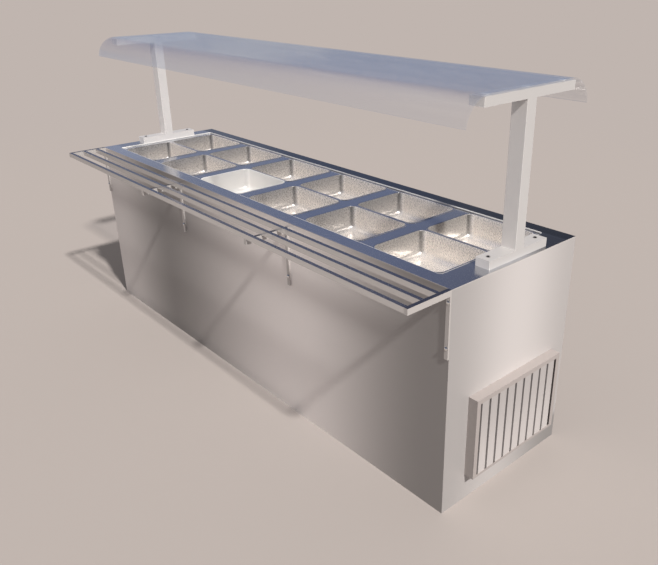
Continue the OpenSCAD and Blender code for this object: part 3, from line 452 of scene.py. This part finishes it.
# %% Steel finishes
finishes = {
    # The cabinet carries painted reflection and painted shade bands.
    "panel_paint": steel("cabinet_steel", (0.85, 0.805, 0.785), 0.25, 0.42, lines=(160, 160, 3),
                         painted_light=cabinet_painted_light, side_metal=0.45),
    # Worktop, rails and brackets: their dark tops and pale uprights are painted reflection.
    "worktop_steel": steel("worktop_steel", (0.58, 0.59, 0.62), 0.95, 0.20, lines=(3, 220, 220),
                           painted_light=ledge_painted_light, edge=(0.74, 0.70, 0.67)),
    # The rails' uprights carry painted shade, duller at the left.
    "rail_steel": steel("rail_steel", (0.30, 0.30, 0.33), 0.95, 0.22, lines=(3, 300, 300),
                        edge=(0.78, 0.745, 0.72), edge_painted_light=rail_painted_shade),
    "bracket_steel": steel("bracket_steel", (0.20, 0.20, 0.23), 0.95, 0.30, lines=(200, 8, 8),
                           edge=(0.60, 0.57, 0.55)),
    # The bead's pale steel is a painted highlight.
    "rolled_steel_painted_highlight": steel("rolled_steel_painted_highlight", (0.90, 0.86, 0.82), 0.3, 0.35, lines=(40, 40, 40)),
    # The pans' walls carry painted shade and a painted highlight, and their rims' tone is partly painted
    # reflection.
    "pan_steel": steel("pan_steel", (0.87, 0.82, 0.77), 0.55, 0.28, lines=(320, 320, 160), streak=0.95,
                       wipe=0.08, bump=0.22, painted_light=pan_painted_light, calm=pan_calm, rim=(0.56, 0.57, 0.60)),
    # The fresh pan's left wall carries painted shade.
    "pan_white": steel("fresh_pan_steel", (0.80, 0.78, 0.75), 0.20, 0.36, lines=(60, 60, 60), streak=0.1,
                       painted_light=fresh_painted_light),
    "galvanised": steel("galvanised_sheet", (0.55, 0.56, 0.57), 0.8, 0.45, lines=(40, 40, 40), streak=0.4),
    "bright_bolt": steel("bright_steel", (0.80, 0.79, 0.77), 1.0, 0.16, lines=(300, 300, 300)),
    "lock_metal": steel("lock_steel", (0.45, 0.45, 0.46), 0.9, 0.30, lines=(300, 300, 300)),
    "fin_aluminium": steel("fin_aluminium", (0.66, 0.68, 0.70), 0.9, 0.34, lines=(8, 200, 200)),
    "fan_aluminium": steel("fan_aluminium", (0.74, 0.75, 0.76), 0.9, 0.30, lines=(120, 120, 120)),
    "copper": steel("copper_tube", (0.72, 0.38, 0.22), 1.0, 0.28, lines=(120, 120, 120)),
    "brass": steel("brass_casting", (0.70, 0.52, 0.22), 1.0, 0.30, lines=(90, 90, 90), streak=0.3),
}
print("steel finishes:", len(finishes))

# %% [markdown]
# ## Paint, plastic and foam
# Powder coat has a faint orange-peel skin, moulded plastic a fine spark-eroded
# grain, and cut foam is open and dull. One recipe does all three: a cell size,
# how deep the skin is, and how glossy.

# %% Paint recipe
def coat(name, colour, roughness, grain=400.0, depth=0.05, metallic=0.0, cloud_size=3.0, painted_light=None):
    """Painted or moulded skin with a fine grain of `grain` cells per metre."""
    mix = new_recipe(name)
    place = mix.node("TexCoord", {}, {}, "Object")
    skin_noise = mix.node("TexNoise", {}, {"Vector": place, "Scale": grain, "Detail": 2.0})
    patch = mix.node("TexNoise", {}, {"Vector": place, "Scale": cloud_size, "Detail": 4.0})
    tone = (patch - 0.5) * 0.35 + (skin_noise - 0.5) * 0.10 + 0.5
    low, high = shades(colour, 0.90, 1.08)
    paint = blended(mix, tone, low, high)
    # Painted light and shade: a factor that scales the paint's colour.
    if painted_light:
        paint = scaled(mix, paint, painted_light(mix, place))
    gloss = (patch - 0.5) * 0.10 + (skin_noise - 0.5) * 0.06 + roughness
    relief = mix.node("Bump", {}, {"Height": skin_noise, "Strength": depth, "Distance": 0.0006})
    skin = mix.node("BsdfPrincipled", {}, {"Base Color": paint, "Metallic": metallic,
                                           "Roughness": gloss, "Normal": relief})
    mix.node("OutputMaterial", {}, {"Surface": skin})
    return mix.owner


print("coat recipe ready")

# %% Coats
finishes.update({
    # The white coat carries painted light: paler front and back faces and left-hand post.
    "gantry_paint": coat("white_powder_coat", (0.80, 0.77, 0.75), 0.42, painted_light=gantry_painted_light),
    # The slats' coat carries painted light, paler low down.
    "slat_paint": coat("slat_powder_coat", (0.49, 0.455, 0.44), 0.40, painted_light=slat_painted_light),
    "grille_frame": coat("grille_frame_coat", (0.41, 0.366, 0.346), 0.42),
    "screw_dark": coat("blackened_screw", (0.035, 0.035, 0.04), 0.40, metallic=0.6),
    "black_paint": coat("black_enamel", (0.03, 0.03, 0.033), 0.38),
    "motor_paint": coat("motor_enamel", (0.10, 0.105, 0.115), 0.45),
    "lever_red": coat("red_lever_sleeve", (0.48, 0.035, 0.03), 0.42, grain=600),
    "black_plastic": coat("black_plastic", (0.028, 0.028, 0.031), 0.55, grain=900, depth=0.12),
    "switch_plastic": coat("switch_plastic", (0.02, 0.02, 0.022), 0.24, grain=900, depth=0.03),
    "pad_clear": coat("clear_pad", (0.80, 0.81, 0.82), 0.35),
    "dial_white": coat("printed_white", (0.80, 0.80, 0.78), 0.5, grain=900),
    "foam": coat("foam", (0.80, 0.73, 0.52), 0.92, grain=260, depth=0.6),
})
print("all finishes so far:", len(finishes))

# %% [markdown]
# ## Clear canopy sheet
# The sheet is about five millimetres of clear plastic. Seen square on it is
# nearly invisible, and seen along its surface it mirrors the sky. A layer weight is
# that change with angle, so it blends a clear shader into a mirror, with a
# trace of white for the haze that wiping leaves.

# %% Canopy finish
sheet = new_recipe("clear_sheet")
slant = sheet.node("LayerWeight", {}, {"Blend": 0.5}, "Facing")
edge_on = slant ** 3.0 * 0.80 + 0.03
spot = sheet.node("TexCoord", {}, {}, "Object")
smear = sheet.node("TexNoise", {}, {"Vector": spot, "Scale": 5.0, "Detail": 4.0})
haze = (smear - 0.5) * 0.04 + 0.05
clear = sheet.node("BsdfTransparent", {}, {"Color": (0.985, 0.99, 1.0, 1)})
mirror = sheet.node("BsdfPrincipled", {},
                    {"Base Color": (0.93, 0.95, 0.98, 1), "Metallic": 1.0, "Roughness": 0.10})
milk = sheet.node("BsdfPrincipled", {}, {"Base Color": (0.74, 0.74, 0.76, 1), "Roughness": 0.4})
body = sheet.node("MixShader", {}, {"Fac": haze, 1: clear, 2: milk})
whole = sheet.node("MixShader", {}, {"Fac": edge_on, 1: body, 2: mirror})
sheet.node("OutputMaterial", {}, {"Surface": whole})
finishes["canopy_clear"] = sheet.owner
print("canopy finish ready")

# %% [markdown]
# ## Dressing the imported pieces
# The record names a material slot for every piece, and that slot's finish goes
# on it. The grille's frame has the panels' slot but a coat of its own, because
# it is darker than they are.

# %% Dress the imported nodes
slot_of = {part["node"]: part["material_slot"] for part in frame["record"]["subparts"]}
for name, node in nodes.items():
    node.data.materials.clear()
    node.data.materials.append(finishes[name if name == "grille_frame" else slot_of[name]])
print("dressed", len(nodes), "nodes")

# %% [markdown]
# ## Modelling by hand
# Every extra piece starts as a primitive and is shaped in edit mode. Small
# helpers start a piece, pick its edges or faces by a test, apply a modifier, and
# finish the piece by naming what it belongs to.

# %% Modelling helpers
def start(add, **settings):
    """Deselect all, add a primitive and go into edit mode with it selected."""
    if bpy.context.mode != "OBJECT":
        bpy.ops.object.mode_set(mode="OBJECT")
    bpy.ops.object.select_all(action="DESELECT")
    add(**settings)
    bpy.ops.object.mode_set(mode="EDIT")
    bpy.ops.mesh.select_all(action="SELECT")
    return bpy.context.object


def pick(kind, test):
    """In edit mode, select just the edges or faces that pass a test."""
    bpy.ops.mesh.select_mode(type="EDGE" if kind == "edges" else "FACE")
    bpy.ops.mesh.select_all(action="DESELECT")
    mesh = bmesh.from_edit_mesh(bpy.context.object.data)
    for item in getattr(mesh, kind):
        item.select_set(bool(test(item)))
    bmesh.update_edit_mesh(bpy.context.object.data)


def middle(item):
    """The middle of an edge's or a face's corners."""
    return sum((corner.co for corner in item.verts), Vector()) / len(item.verts)


def modify(piece, kind, **settings):
    """Add a modifier and apply it at once."""
    bpy.ops.object.mode_set(mode="OBJECT")
    step = piece.modifiers.new(kind.lower(), kind)
    for name, value in settings.items():
        setattr(step, name, value)
    bpy.ops.object.modifier_apply(modifier=step.name)


def done(piece, name, body, slot, node=None, angle=35, finish=None):
    """Name a piece, smooth it, dress it and seat it on its body. Its finish has the
    slot's name, unless it is given. Printed marks take theirs from no slot."""
    if bpy.context.mode != "OBJECT":
        bpy.ops.object.mode_set(mode="OBJECT")
    bpy.ops.object.shade_smooth_by_angle(angle=math.radians(angle))
    piece.name = piece.data.name = name
    piece.data.materials.clear()
    piece.data.materials.append(finishes[finish or slot])
    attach(piece, body)
    if node:
        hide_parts(node)
    return piece


print("modelling helpers ready")

# %% [markdown]
# ## The pans
# A food pan is pressed from one sheet. Its rim starts as a flat rounded plate,
# an inset marks the mouth, and the middle is pushed down in steps: first the
# long wall with its draft, then six short steps round the floor's radius.
# Solidify gives the sheet its millimetre, and the mouth's edge is rolled over.

# %% Draw the pans
PAN_L, PAN_W, RIM, MOUTH_R = 0.325, 0.265, 0.0065, 0.028
DRAFT, FILLET, FLOOR_Z = 0.005, 0.029, 0.7463
LIP_R, PAN_SHEET = 0.0022, 0.001
PAN_X = [-0.962, -0.578, -0.194, 0.190, 0.574, 0.958]
PAN_Y = [-0.1315, 0.1350]


def push_down(size, inset, drop):
    """Extrude the selected face down and draw it in by `inset` on each side."""
    bpy.ops.mesh.extrude_region_move(TRANSFORM_OT_translate={"value": (0, 0, -drop)})
    smaller = [side - 2 * inset for side in size]
    bpy.ops.transform.resize(value=(smaller[0] / size[0], smaller[1] / size[1], 1))
    return smaller


def draw_pan(x, y):
    """One pan, with the middle of its mouth at (x, y)."""
    pan = start(bpy.ops.mesh.primitive_plane_add, size=1.0)
    bpy.ops.transform.resize(value=(PAN_L, PAN_W, 1))
    bpy.ops.mesh.bevel(offset=MOUTH_R + RIM, segments=9, affect="VERTICES")
    pick("faces", lambda face: True)
    bpy.ops.mesh.inset(thickness=RIM)
    size = [PAN_L - 2 * RIM, PAN_W - 2 * RIM]
    size = push_down(size, DRAFT, RIM_TOP - FLOOR_Z - FILLET)
    turns = [math.radians(15 * k) for k in range(7)]
    for before, after in zip(turns, turns[1:]):
        inset = FILLET * (math.cos(before) - math.cos(after))
        size = push_down(size, inset, FILLET * (math.sin(after) - math.sin(before)))
    pick("edges", lambda edge: abs(middle(edge).z) < 1e-6 and not edge.is_boundary
         and edge.calc_face_angle() > 0.5)
    bpy.ops.mesh.bevel(offset=LIP_R, segments=3, affect="EDGES")
    bpy.ops.mesh.select_all(action="SELECT")
    bpy.ops.transform.translate(value=(x, y, RIM_TOP))
    modify(pan, "SOLIDIFY", thickness=PAN_SHEET, offset=-1)
    return pan


for column, x in enumerate(PAN_X):
    for row, y in enumerate(PAN_Y):
        number = 2 * column + row + 1
        slot = "pan_white" if number == 5 else "pan_steel"
        done(draw_pan(x, y), "pan_%d_drawn" % number, "food_pan_%d" % number, slot, "pan_%d" % number)
print("pans drawn:", len(PAN_X) * len(PAN_Y))

# %% [markdown]
# ## The canopy
# The clear sheet is a flat plate whose long edges are spun down round two
# axes, which is how such a sheet is bent over a heated bar.

# %% Bend the canopy
CANOPY_L, FLAT, VISOR_R, TOP_Z, MID_Y = 2.430, 0.420, 0.095, 1.401, 0.019
VISOR_DROP, CANOPY_SHEET = 0.087, 0.005
SWEEP = math.acos(1 - VISOR_DROP / VISOR_R)
canopy = start(bpy.ops.mesh.primitive_plane_add, size=1.0)
bpy.ops.transform.resize(value=(CANOPY_L, FLAT, 1))
bpy.ops.transform.translate(value=(0, MID_Y, TOP_Z))
for side in (-1, 1):
    edge_y = MID_Y + side * FLAT / 2
    pick("edges", lambda edge: abs(middle(edge).y - edge_y) < 1e-5)
    bpy.ops.mesh.spin(steps=20, angle=side * SWEEP, center=(0, edge_y, TOP_Z - VISOR_R), axis=(1, 0, 0))
bpy.ops.mesh.select_all(action="SELECT")
bpy.ops.mesh.remove_doubles(threshold=1e-5)
bpy.ops.mesh.normals_make_consistent(inside=False)
mesh = bmesh.from_edit_mesh(canopy.data)
mesh.faces.ensure_lookup_table()
flat_face = max(mesh.faces, key=lambda face: face.calc_area())
if flat_face.normal.z < 0:
    bpy.ops.mesh.flip_normals()
modify(canopy, "SOLIDIFY", thickness=CANOPY_SHEET, offset=-1)
done(canopy, "canopy_sheet", "cabinet", "canopy_clear", "canopy")
lowest = min(corner.co.z for corner in canopy.data.vertices)
print("canopy faces:", len(canopy.data.polygons), "lowest", round(lowest, 4))

# %% [markdown]
# ## Small pieces
# The rest is hardware that a smooth box can't show: a bead round the recess,
# socket screws, weld beads, the dial and its marks. Each is built round
# the origin, then turned and moved to its place, and that place is put into its
# mesh so that patterns stay where they are.

# %% Settling and copying
def settle(piece, place, turn=(0, 0, 0)):
    """Turn and move a finished piece, in metres and degrees, into its mesh."""
    if bpy.context.mode != "OBJECT":
        bpy.ops.object.mode_set(mode="OBJECT")
    piece.location = place
    piece.rotation_euler = [math.radians(angle) for angle in turn]
    bpy.ops.object.transform_apply(location=True, rotation=True, scale=True)


def copied(piece, step):
    """The same piece again with its own mesh, moved by `step`."""
    bpy.ops.object.select_all(action="DESELECT")
    piece.select_set(True)
    bpy.context.view_layer.objects.active = piece
    bpy.ops.object.duplicate(linked=False)
    twin = bpy.context.object
    settle(twin, step)
    return twin


def merged(pieces):
    """Several pieces joined into the first."""
    if bpy.context.mode != "OBJECT":
        bpy.ops.object.mode_set(mode="OBJECT")
    bpy.ops.object.select_all(action="DESELECT")
    for piece in pieces:
        piece.select_set(True)
    bpy.context.view_layer.objects.active = pieces[0]
    bpy.ops.object.join()
    return pieces[0]


def soften(width, segments=2, angle=35):
    """In edit mode, bevel every edge sharper than `angle`."""
    pick("edges", lambda edge: not edge.is_boundary and edge.calc_face_angle(0) > math.radians(angle))
    bpy.ops.mesh.bevel(offset=width, segments=segments, affect="EDGES")


print("small-piece helpers ready")

# %% [markdown]
# ## The bead round the recess
# The worktop dips six millimetres round the pans. The dip's edge is rolled, and
# the roll shows as a thin bright line behind the pans: its round shape catches the
# light, and its pale colour is a painted highlight. A rounded rectangle loses its
# face, becomes a curve, and the curve gets a round section.

# %% Recess bead
RECESS_L, RECESS_W, RECESS_R, BEAD_R = 2.2865, 0.5415, 0.0148, 0.0033
RECESS_X, RECESS_Y, BEAD_Z = -0.0125, 0.0025, 0.8470


def rolled_edge(length, width, corner, radius):
    """A round bar bent into a rectangle with rounded corners."""
    ring = start(bpy.ops.mesh.primitive_plane_add, size=1.0)
    bpy.ops.transform.resize(value=(length, width, 1))
    bpy.ops.mesh.bevel(offset=corner, segments=7, affect="VERTICES")
    bpy.ops.mesh.delete(type="ONLY_FACE")
    bpy.ops.object.mode_set(mode="OBJECT")
    bpy.ops.object.convert(target="CURVE")
    ring.data.bevel_depth = radius
    ring.data.bevel_resolution = 2
    bpy.ops.object.convert(target="MESH")
    return bpy.context.object


bead = rolled_edge(RECESS_L, RECESS_W, RECESS_R, BEAD_R)
settle(bead, (RECESS_X, RECESS_Y, BEAD_Z))
# Its pale finish is a painted highlight.
done(bead, "recess_bead", "cabinet", "worktop_steel", angle=60, finish="rolled_steel_painted_highlight")
print("bead faces:", len(bead.data.polygons))

# %% [markdown]
# ## Socket screws
# Four screws hold the gantry's feet. The head is an open ring of 24 sides, and
# the socket a hexagon that is pushed down and closed at its floor. No face joins
# the two yet. Under the worktop a nut closes each screw.
#
# The location of the first primitive goes on the object, not into its mesh, and
# settling the piece replaces it. So the screw ends half a head lower than drawn.

# %% Gantry screws
POST_X, FOOT_TOP_Z = 1.185, 0.880
SCREW_Y, SCREW_GAP = -0.106, 0.250
NUT_H = 0.004


def socket_screw(head_r, head_h, socket_r, shank_r, length, nut_r):
    """A screw with the middle of its head at the origin, and its nut below."""
    screw = start(bpy.ops.mesh.primitive_cylinder_add, vertices=24, radius=head_r, depth=head_h,
                  location=(0, 0, head_h / 2), end_fill_type="NOTHING")
    bpy.ops.mesh.primitive_circle_add(vertices=6, radius=socket_r, location=(0, 0, head_h))
    pick("edges", lambda edge: all(corner.co.xy.length < socket_r * 1.01 for corner in edge.verts))
    bpy.ops.mesh.extrude_region_move(TRANSFORM_OT_translate={"value": (0, 0, -head_h * 0.7)})
    bpy.ops.mesh.edge_face_add()
    bpy.ops.mesh.primitive_cylinder_add(vertices=20, radius=shank_r, depth=length,
                                        location=(0, 0, -length / 2))
    bpy.ops.mesh.primitive_cylinder_add(vertices=6, radius=nut_r, depth=NUT_H,
                                        location=(0, 0, NUT_H / 2 - length))
    bpy.ops.mesh.select_all(action="SELECT")
    bpy.ops.mesh.normals_make_consistent(inside=False)
    return screw


first = socket_screw(head_r=0.0065, head_h=0.0038, socket_r=0.0034,
                     shank_r=0.004, length=0.042, nut_r=0.0074)
settle(first, (-POST_X, SCREW_Y, FOOT_TOP_Z))
steps = [(0, SCREW_GAP, 0), (2 * POST_X, 0, 0), (2 * POST_X, SCREW_GAP, 0)]
row = [first] + [copied(first, step) for step in steps]
screws = merged(row)
done(screws, "gantry_screws_drawn", "cabinet", "screw_dark", "gantry_screws")
print("screws:", len(row))

# %% [markdown]
# ## Weld beads
# The posts are welded to their feet and arms along the two sides where the
# tubes don't end flush. A weld is a row of small overlapping drops, so a short
# tube is extruded in steps that grow and shrink in turn.

# %% Welds
POST_SIDE, WELD_R, WELD_DROPS, SWELL = 0.054, 0.0024, 27, 1.35


def weld(length, radius, drops):
    """A row of `drops` weld drops, standing up from the origin."""
    seam = start(bpy.ops.mesh.primitive_circle_add, vertices=10, radius=radius * 0.7, fill_type="NGON")
    for k in range(drops):
        swell = SWELL if k % 2 == 0 else 1 / SWELL
        bpy.ops.mesh.extrude_region_move(TRANSFORM_OT_translate={"value": (0, 0, length / drops)})
        bpy.ops.transform.resize(value=(swell, swell, 1))
    bpy.ops.mesh.select_all(action="SELECT")
    bpy.ops.mesh.normals_make_consistent(inside=False)
    return seam


seams = []
for side in (-1, 1):
    for edge_y in (-0.004, 0.042):
        for joint_z in (0.8805, 1.3635):
            seam = weld(POST_SIDE, WELD_R, WELD_DROPS)
            settle(seam, (side * POST_X - POST_SIDE / 2, edge_y, joint_z), (0, 90, 0))
            seams.append(seam)
welds = merged(seams)
done(welds, "gantry_welds", "cabinet", "gantry_paint", angle=70)
print("welds:", len(seams))

# %% [markdown]
# ## The thermostat dial
# The knob is a flat skirt with a narrower grip on it, which is one cylinder whose
# top is inset and pulled out, and a raised bar that points. Round it, printed
# marks run from nought to five over three quarters of a turn, as far as the knob
# goes. Here too the location is replaced when the knob settles, so it ends half
# a skirt deeper than drawn, and the white line stands off its bar.

# %% Knob
CONTROL_X, KNOB_Z, SWITCH_Z, FACE_Y = 0.505, 0.482, 0.414, 0.3296
knob = start(bpy.ops.mesh.primitive_cylinder_add, vertices=48, radius=0.020, depth=0.005,
             location=(0, 0, 0.0025))
pick("faces", lambda face: face.normal.z > 0.9)
bpy.ops.mesh.inset(thickness=0.0045)
bpy.ops.mesh.extrude_region_move(TRANSFORM_OT_translate={"value": (0, 0, 0.013)})
bpy.ops.transform.resize(value=(0.95, 0.95, 1))
soften(0.0007)
bpy.ops.mesh.primitive_cube_add(size=1.0)
bpy.ops.transform.resize(value=(0.006, 0.0185, 0.0195))
bpy.ops.transform.translate(value=(0, -0.00975, 0.01))
settle(knob, (CONTROL_X, 0.3298, KNOB_Z), (-90, 0, 0))
done(knob, "knob_drawn", "knob", "black_plastic", "thermostat_knob", angle=30)
print("knob faces:", len(knob.data.polygons))

# %% Dial marks
def printed(text, size):
    """Flat printed characters, a little over a tenth of a millimetre thick."""
    bpy.ops.object.select_all(action="DESELECT")
    bpy.ops.object.text_add()
    word = bpy.context.object
    word.data.body = text
    word.data.size = size
    word.data.align_x = "CENTER"
    word.data.align_y = "CENTER"
    word.data.extrude = 0.00006
    bpy.ops.object.convert(target="MESH")
    return bpy.context.object


def stroke(width, length, thick):
    """A flat printed line with round ends, standing up from the origin's plane."""
    line = start(bpy.ops.mesh.primitive_plane_add, size=1.0)
    bpy.ops.transform.resize(value=(width, length, 1))
    bpy.ops.mesh.bevel(offset=width * 0.45, segments=3, affect="VERTICES")
    pick("faces", lambda face: True)
    bpy.ops.mesh.extrude_region_move(TRANSFORM_OT_translate={"value": (0, 0, thick)})
    bpy.ops.mesh.select_all(action="SELECT")
    bpy.ops.mesh.normals_make_consistent(inside=False)
    return line


TICK_STEP, TICK_RING, FIGURE_RING = 27, 0.0235, 0.0302
centre = Vector((CONTROL_X, FACE_Y, KNOB_Z))
marks = []
for k in range(11):
    angle = math.radians(TICK_STEP * k)
    away = Vector((-math.sin(angle), 0, math.cos(angle)))
    tick = stroke(0.0006 if k % 2 else 0.0010, 0.0030, 0.0001)
    settle(tick, (0, 0, 0), (-90, 0, 0))
    settle(tick, centre + away * TICK_RING, (0, -TICK_STEP * k, 0))
    marks.append(tick)
    if k % 2 == 0:
        figure = printed(str(k // 2), 0.0065)
        settle(figure, centre + away * FIGURE_RING, (90, 0, 180))
        marks.append(figure)
dial = merged(marks)
done(dial, "dial_marks", "cabinet", None, finish="dial_white")
pointer = stroke(0.0013, 0.012, 0.0003)
settle(pointer, (CONTROL_X, 0.3494, 0.4918), (-90, 0, 0))
done(pointer, "knob_line", "knob", None, finish="dial_white")
print("dial marks:", len(marks))

# %% [markdown]
# ## The power switch
# A moulded frame surrounds the rocker, and the rocker carries the usual stroke
# and ring. These two marks ride on the rocker and tip with it.

# %% Switch frame and marks
frame_piece = start(bpy.ops.mesh.primitive_plane_add, size=1.0)
bpy.ops.transform.resize(value=(0.032, 0.0255, 1))
bpy.ops.mesh.bevel(offset=0.0025, segments=4, affect="VERTICES")
pick("faces", lambda face: True)
bpy.ops.mesh.inset(thickness=0.0033)
bpy.ops.mesh.delete(type="FACE")
modify(frame_piece, "SOLIDIFY", thickness=0.0018, offset=1)
bpy.ops.object.mode_set(mode="EDIT")
soften(0.0005)
settle(frame_piece, (CONTROL_X, FACE_Y, SWITCH_Z), (-90, 0, 0))
done(frame_piece, "switch_frame", "cabinet", "switch_plastic")

on_mark = stroke(0.0009, 0.0038, 0.0002)
settle(on_mark, (0, 0.0031, 0.0044), (-90, 0, 0))
ring = start(bpy.ops.mesh.primitive_torus_add, major_segments=24, minor_segments=6,
             major_radius=0.0017, minor_radius=0.0003)
bpy.ops.transform.resize(value=(1, 1, 0.4))
settle(ring, (0, 0.0032, -0.0044), (90, 0, 0))
rocker = merged([on_mark, ring])
settle(rocker, (CONTROL_X, 0.3285, SWITCH_Z), (10, 0, 0))
done(rocker, "switch_marks", "switch", None, finish="dial_white")
print("switch pieces ready")

# %% [markdown]
# ## The service side
# Behind the door stands the compressor, a shell welded round its middle with a
# clipped cover over its terminals. The door's lock has a rose, a flat ring that
# hides the hole in the sheet, and the drain's lever has a dipped sleeve.

# %% Lock rose
rose = start(bpy.ops.mesh.primitive_circle_add, vertices=48, radius=0.0190, fill_type="NGON")
pick("faces", lambda face: True)
bpy.ops.mesh.inset(thickness=0.0055)
bpy.ops.mesh.delete(type="FACE")
modify(rose, "SOLIDIFY", thickness=0.0014, offset=1)
bpy.ops.object.mode_set(mode="EDIT")
soften(0.0004)
settle(rose, (0.644, 0.3276, 0.347), (-90, 0, 0))
done(rose, "lock_rose", "door", "lock_metal")
print("rose faces:", len(rose.data.polygons))

# %% Compressor seam and cover
COMP_X = 0.880
seam = start(bpy.ops.mesh.primitive_torus_add, major_segments=72, minor_segments=8,
             major_radius=0.0821, minor_radius=0.0018)
bpy.ops.transform.resize(value=(1, 1, 1.6))
settle(seam, (COMP_X, 0.0165, 0.222))
done(seam, "compressor_seam", "cabinet", "black_paint", angle=60)

cover = start(bpy.ops.mesh.primitive_cube_add, size=1.0)
bpy.ops.transform.resize(value=(0.058, 0.020, 0.050))
pick("faces", lambda face: face.normal.y > 0.9)
bpy.ops.mesh.inset(thickness=0.006)
bpy.ops.mesh.extrude_region_move(TRANSFORM_OT_translate={"value": (0, 0.006, 0)})
soften(0.003, 3)
settle(cover, (COMP_X, 0.1045, 0.232))
done(cover, "terminal_cover", "cabinet", "black_plastic")
print("cover faces:", len(cover.data.polygons))

# %% Lever sleeve
sleeve = start(bpy.ops.mesh.primitive_cube_add, size=1.0)
bpy.ops.transform.resize(value=(0.056, 0.0062, 0.0172))
bpy.ops.mesh.subdivide(number_cuts=5)
pick("faces", lambda face: abs(face.normal.y) > 0.9)
soften(0.002, 3)
settle(sleeve, (0.7055, 0.03455, 0.5314))
done(sleeve, "lever_sleeve", "drain_lever", "lever_red")
print("sleeve faces:", len(sleeve.data.polygons))
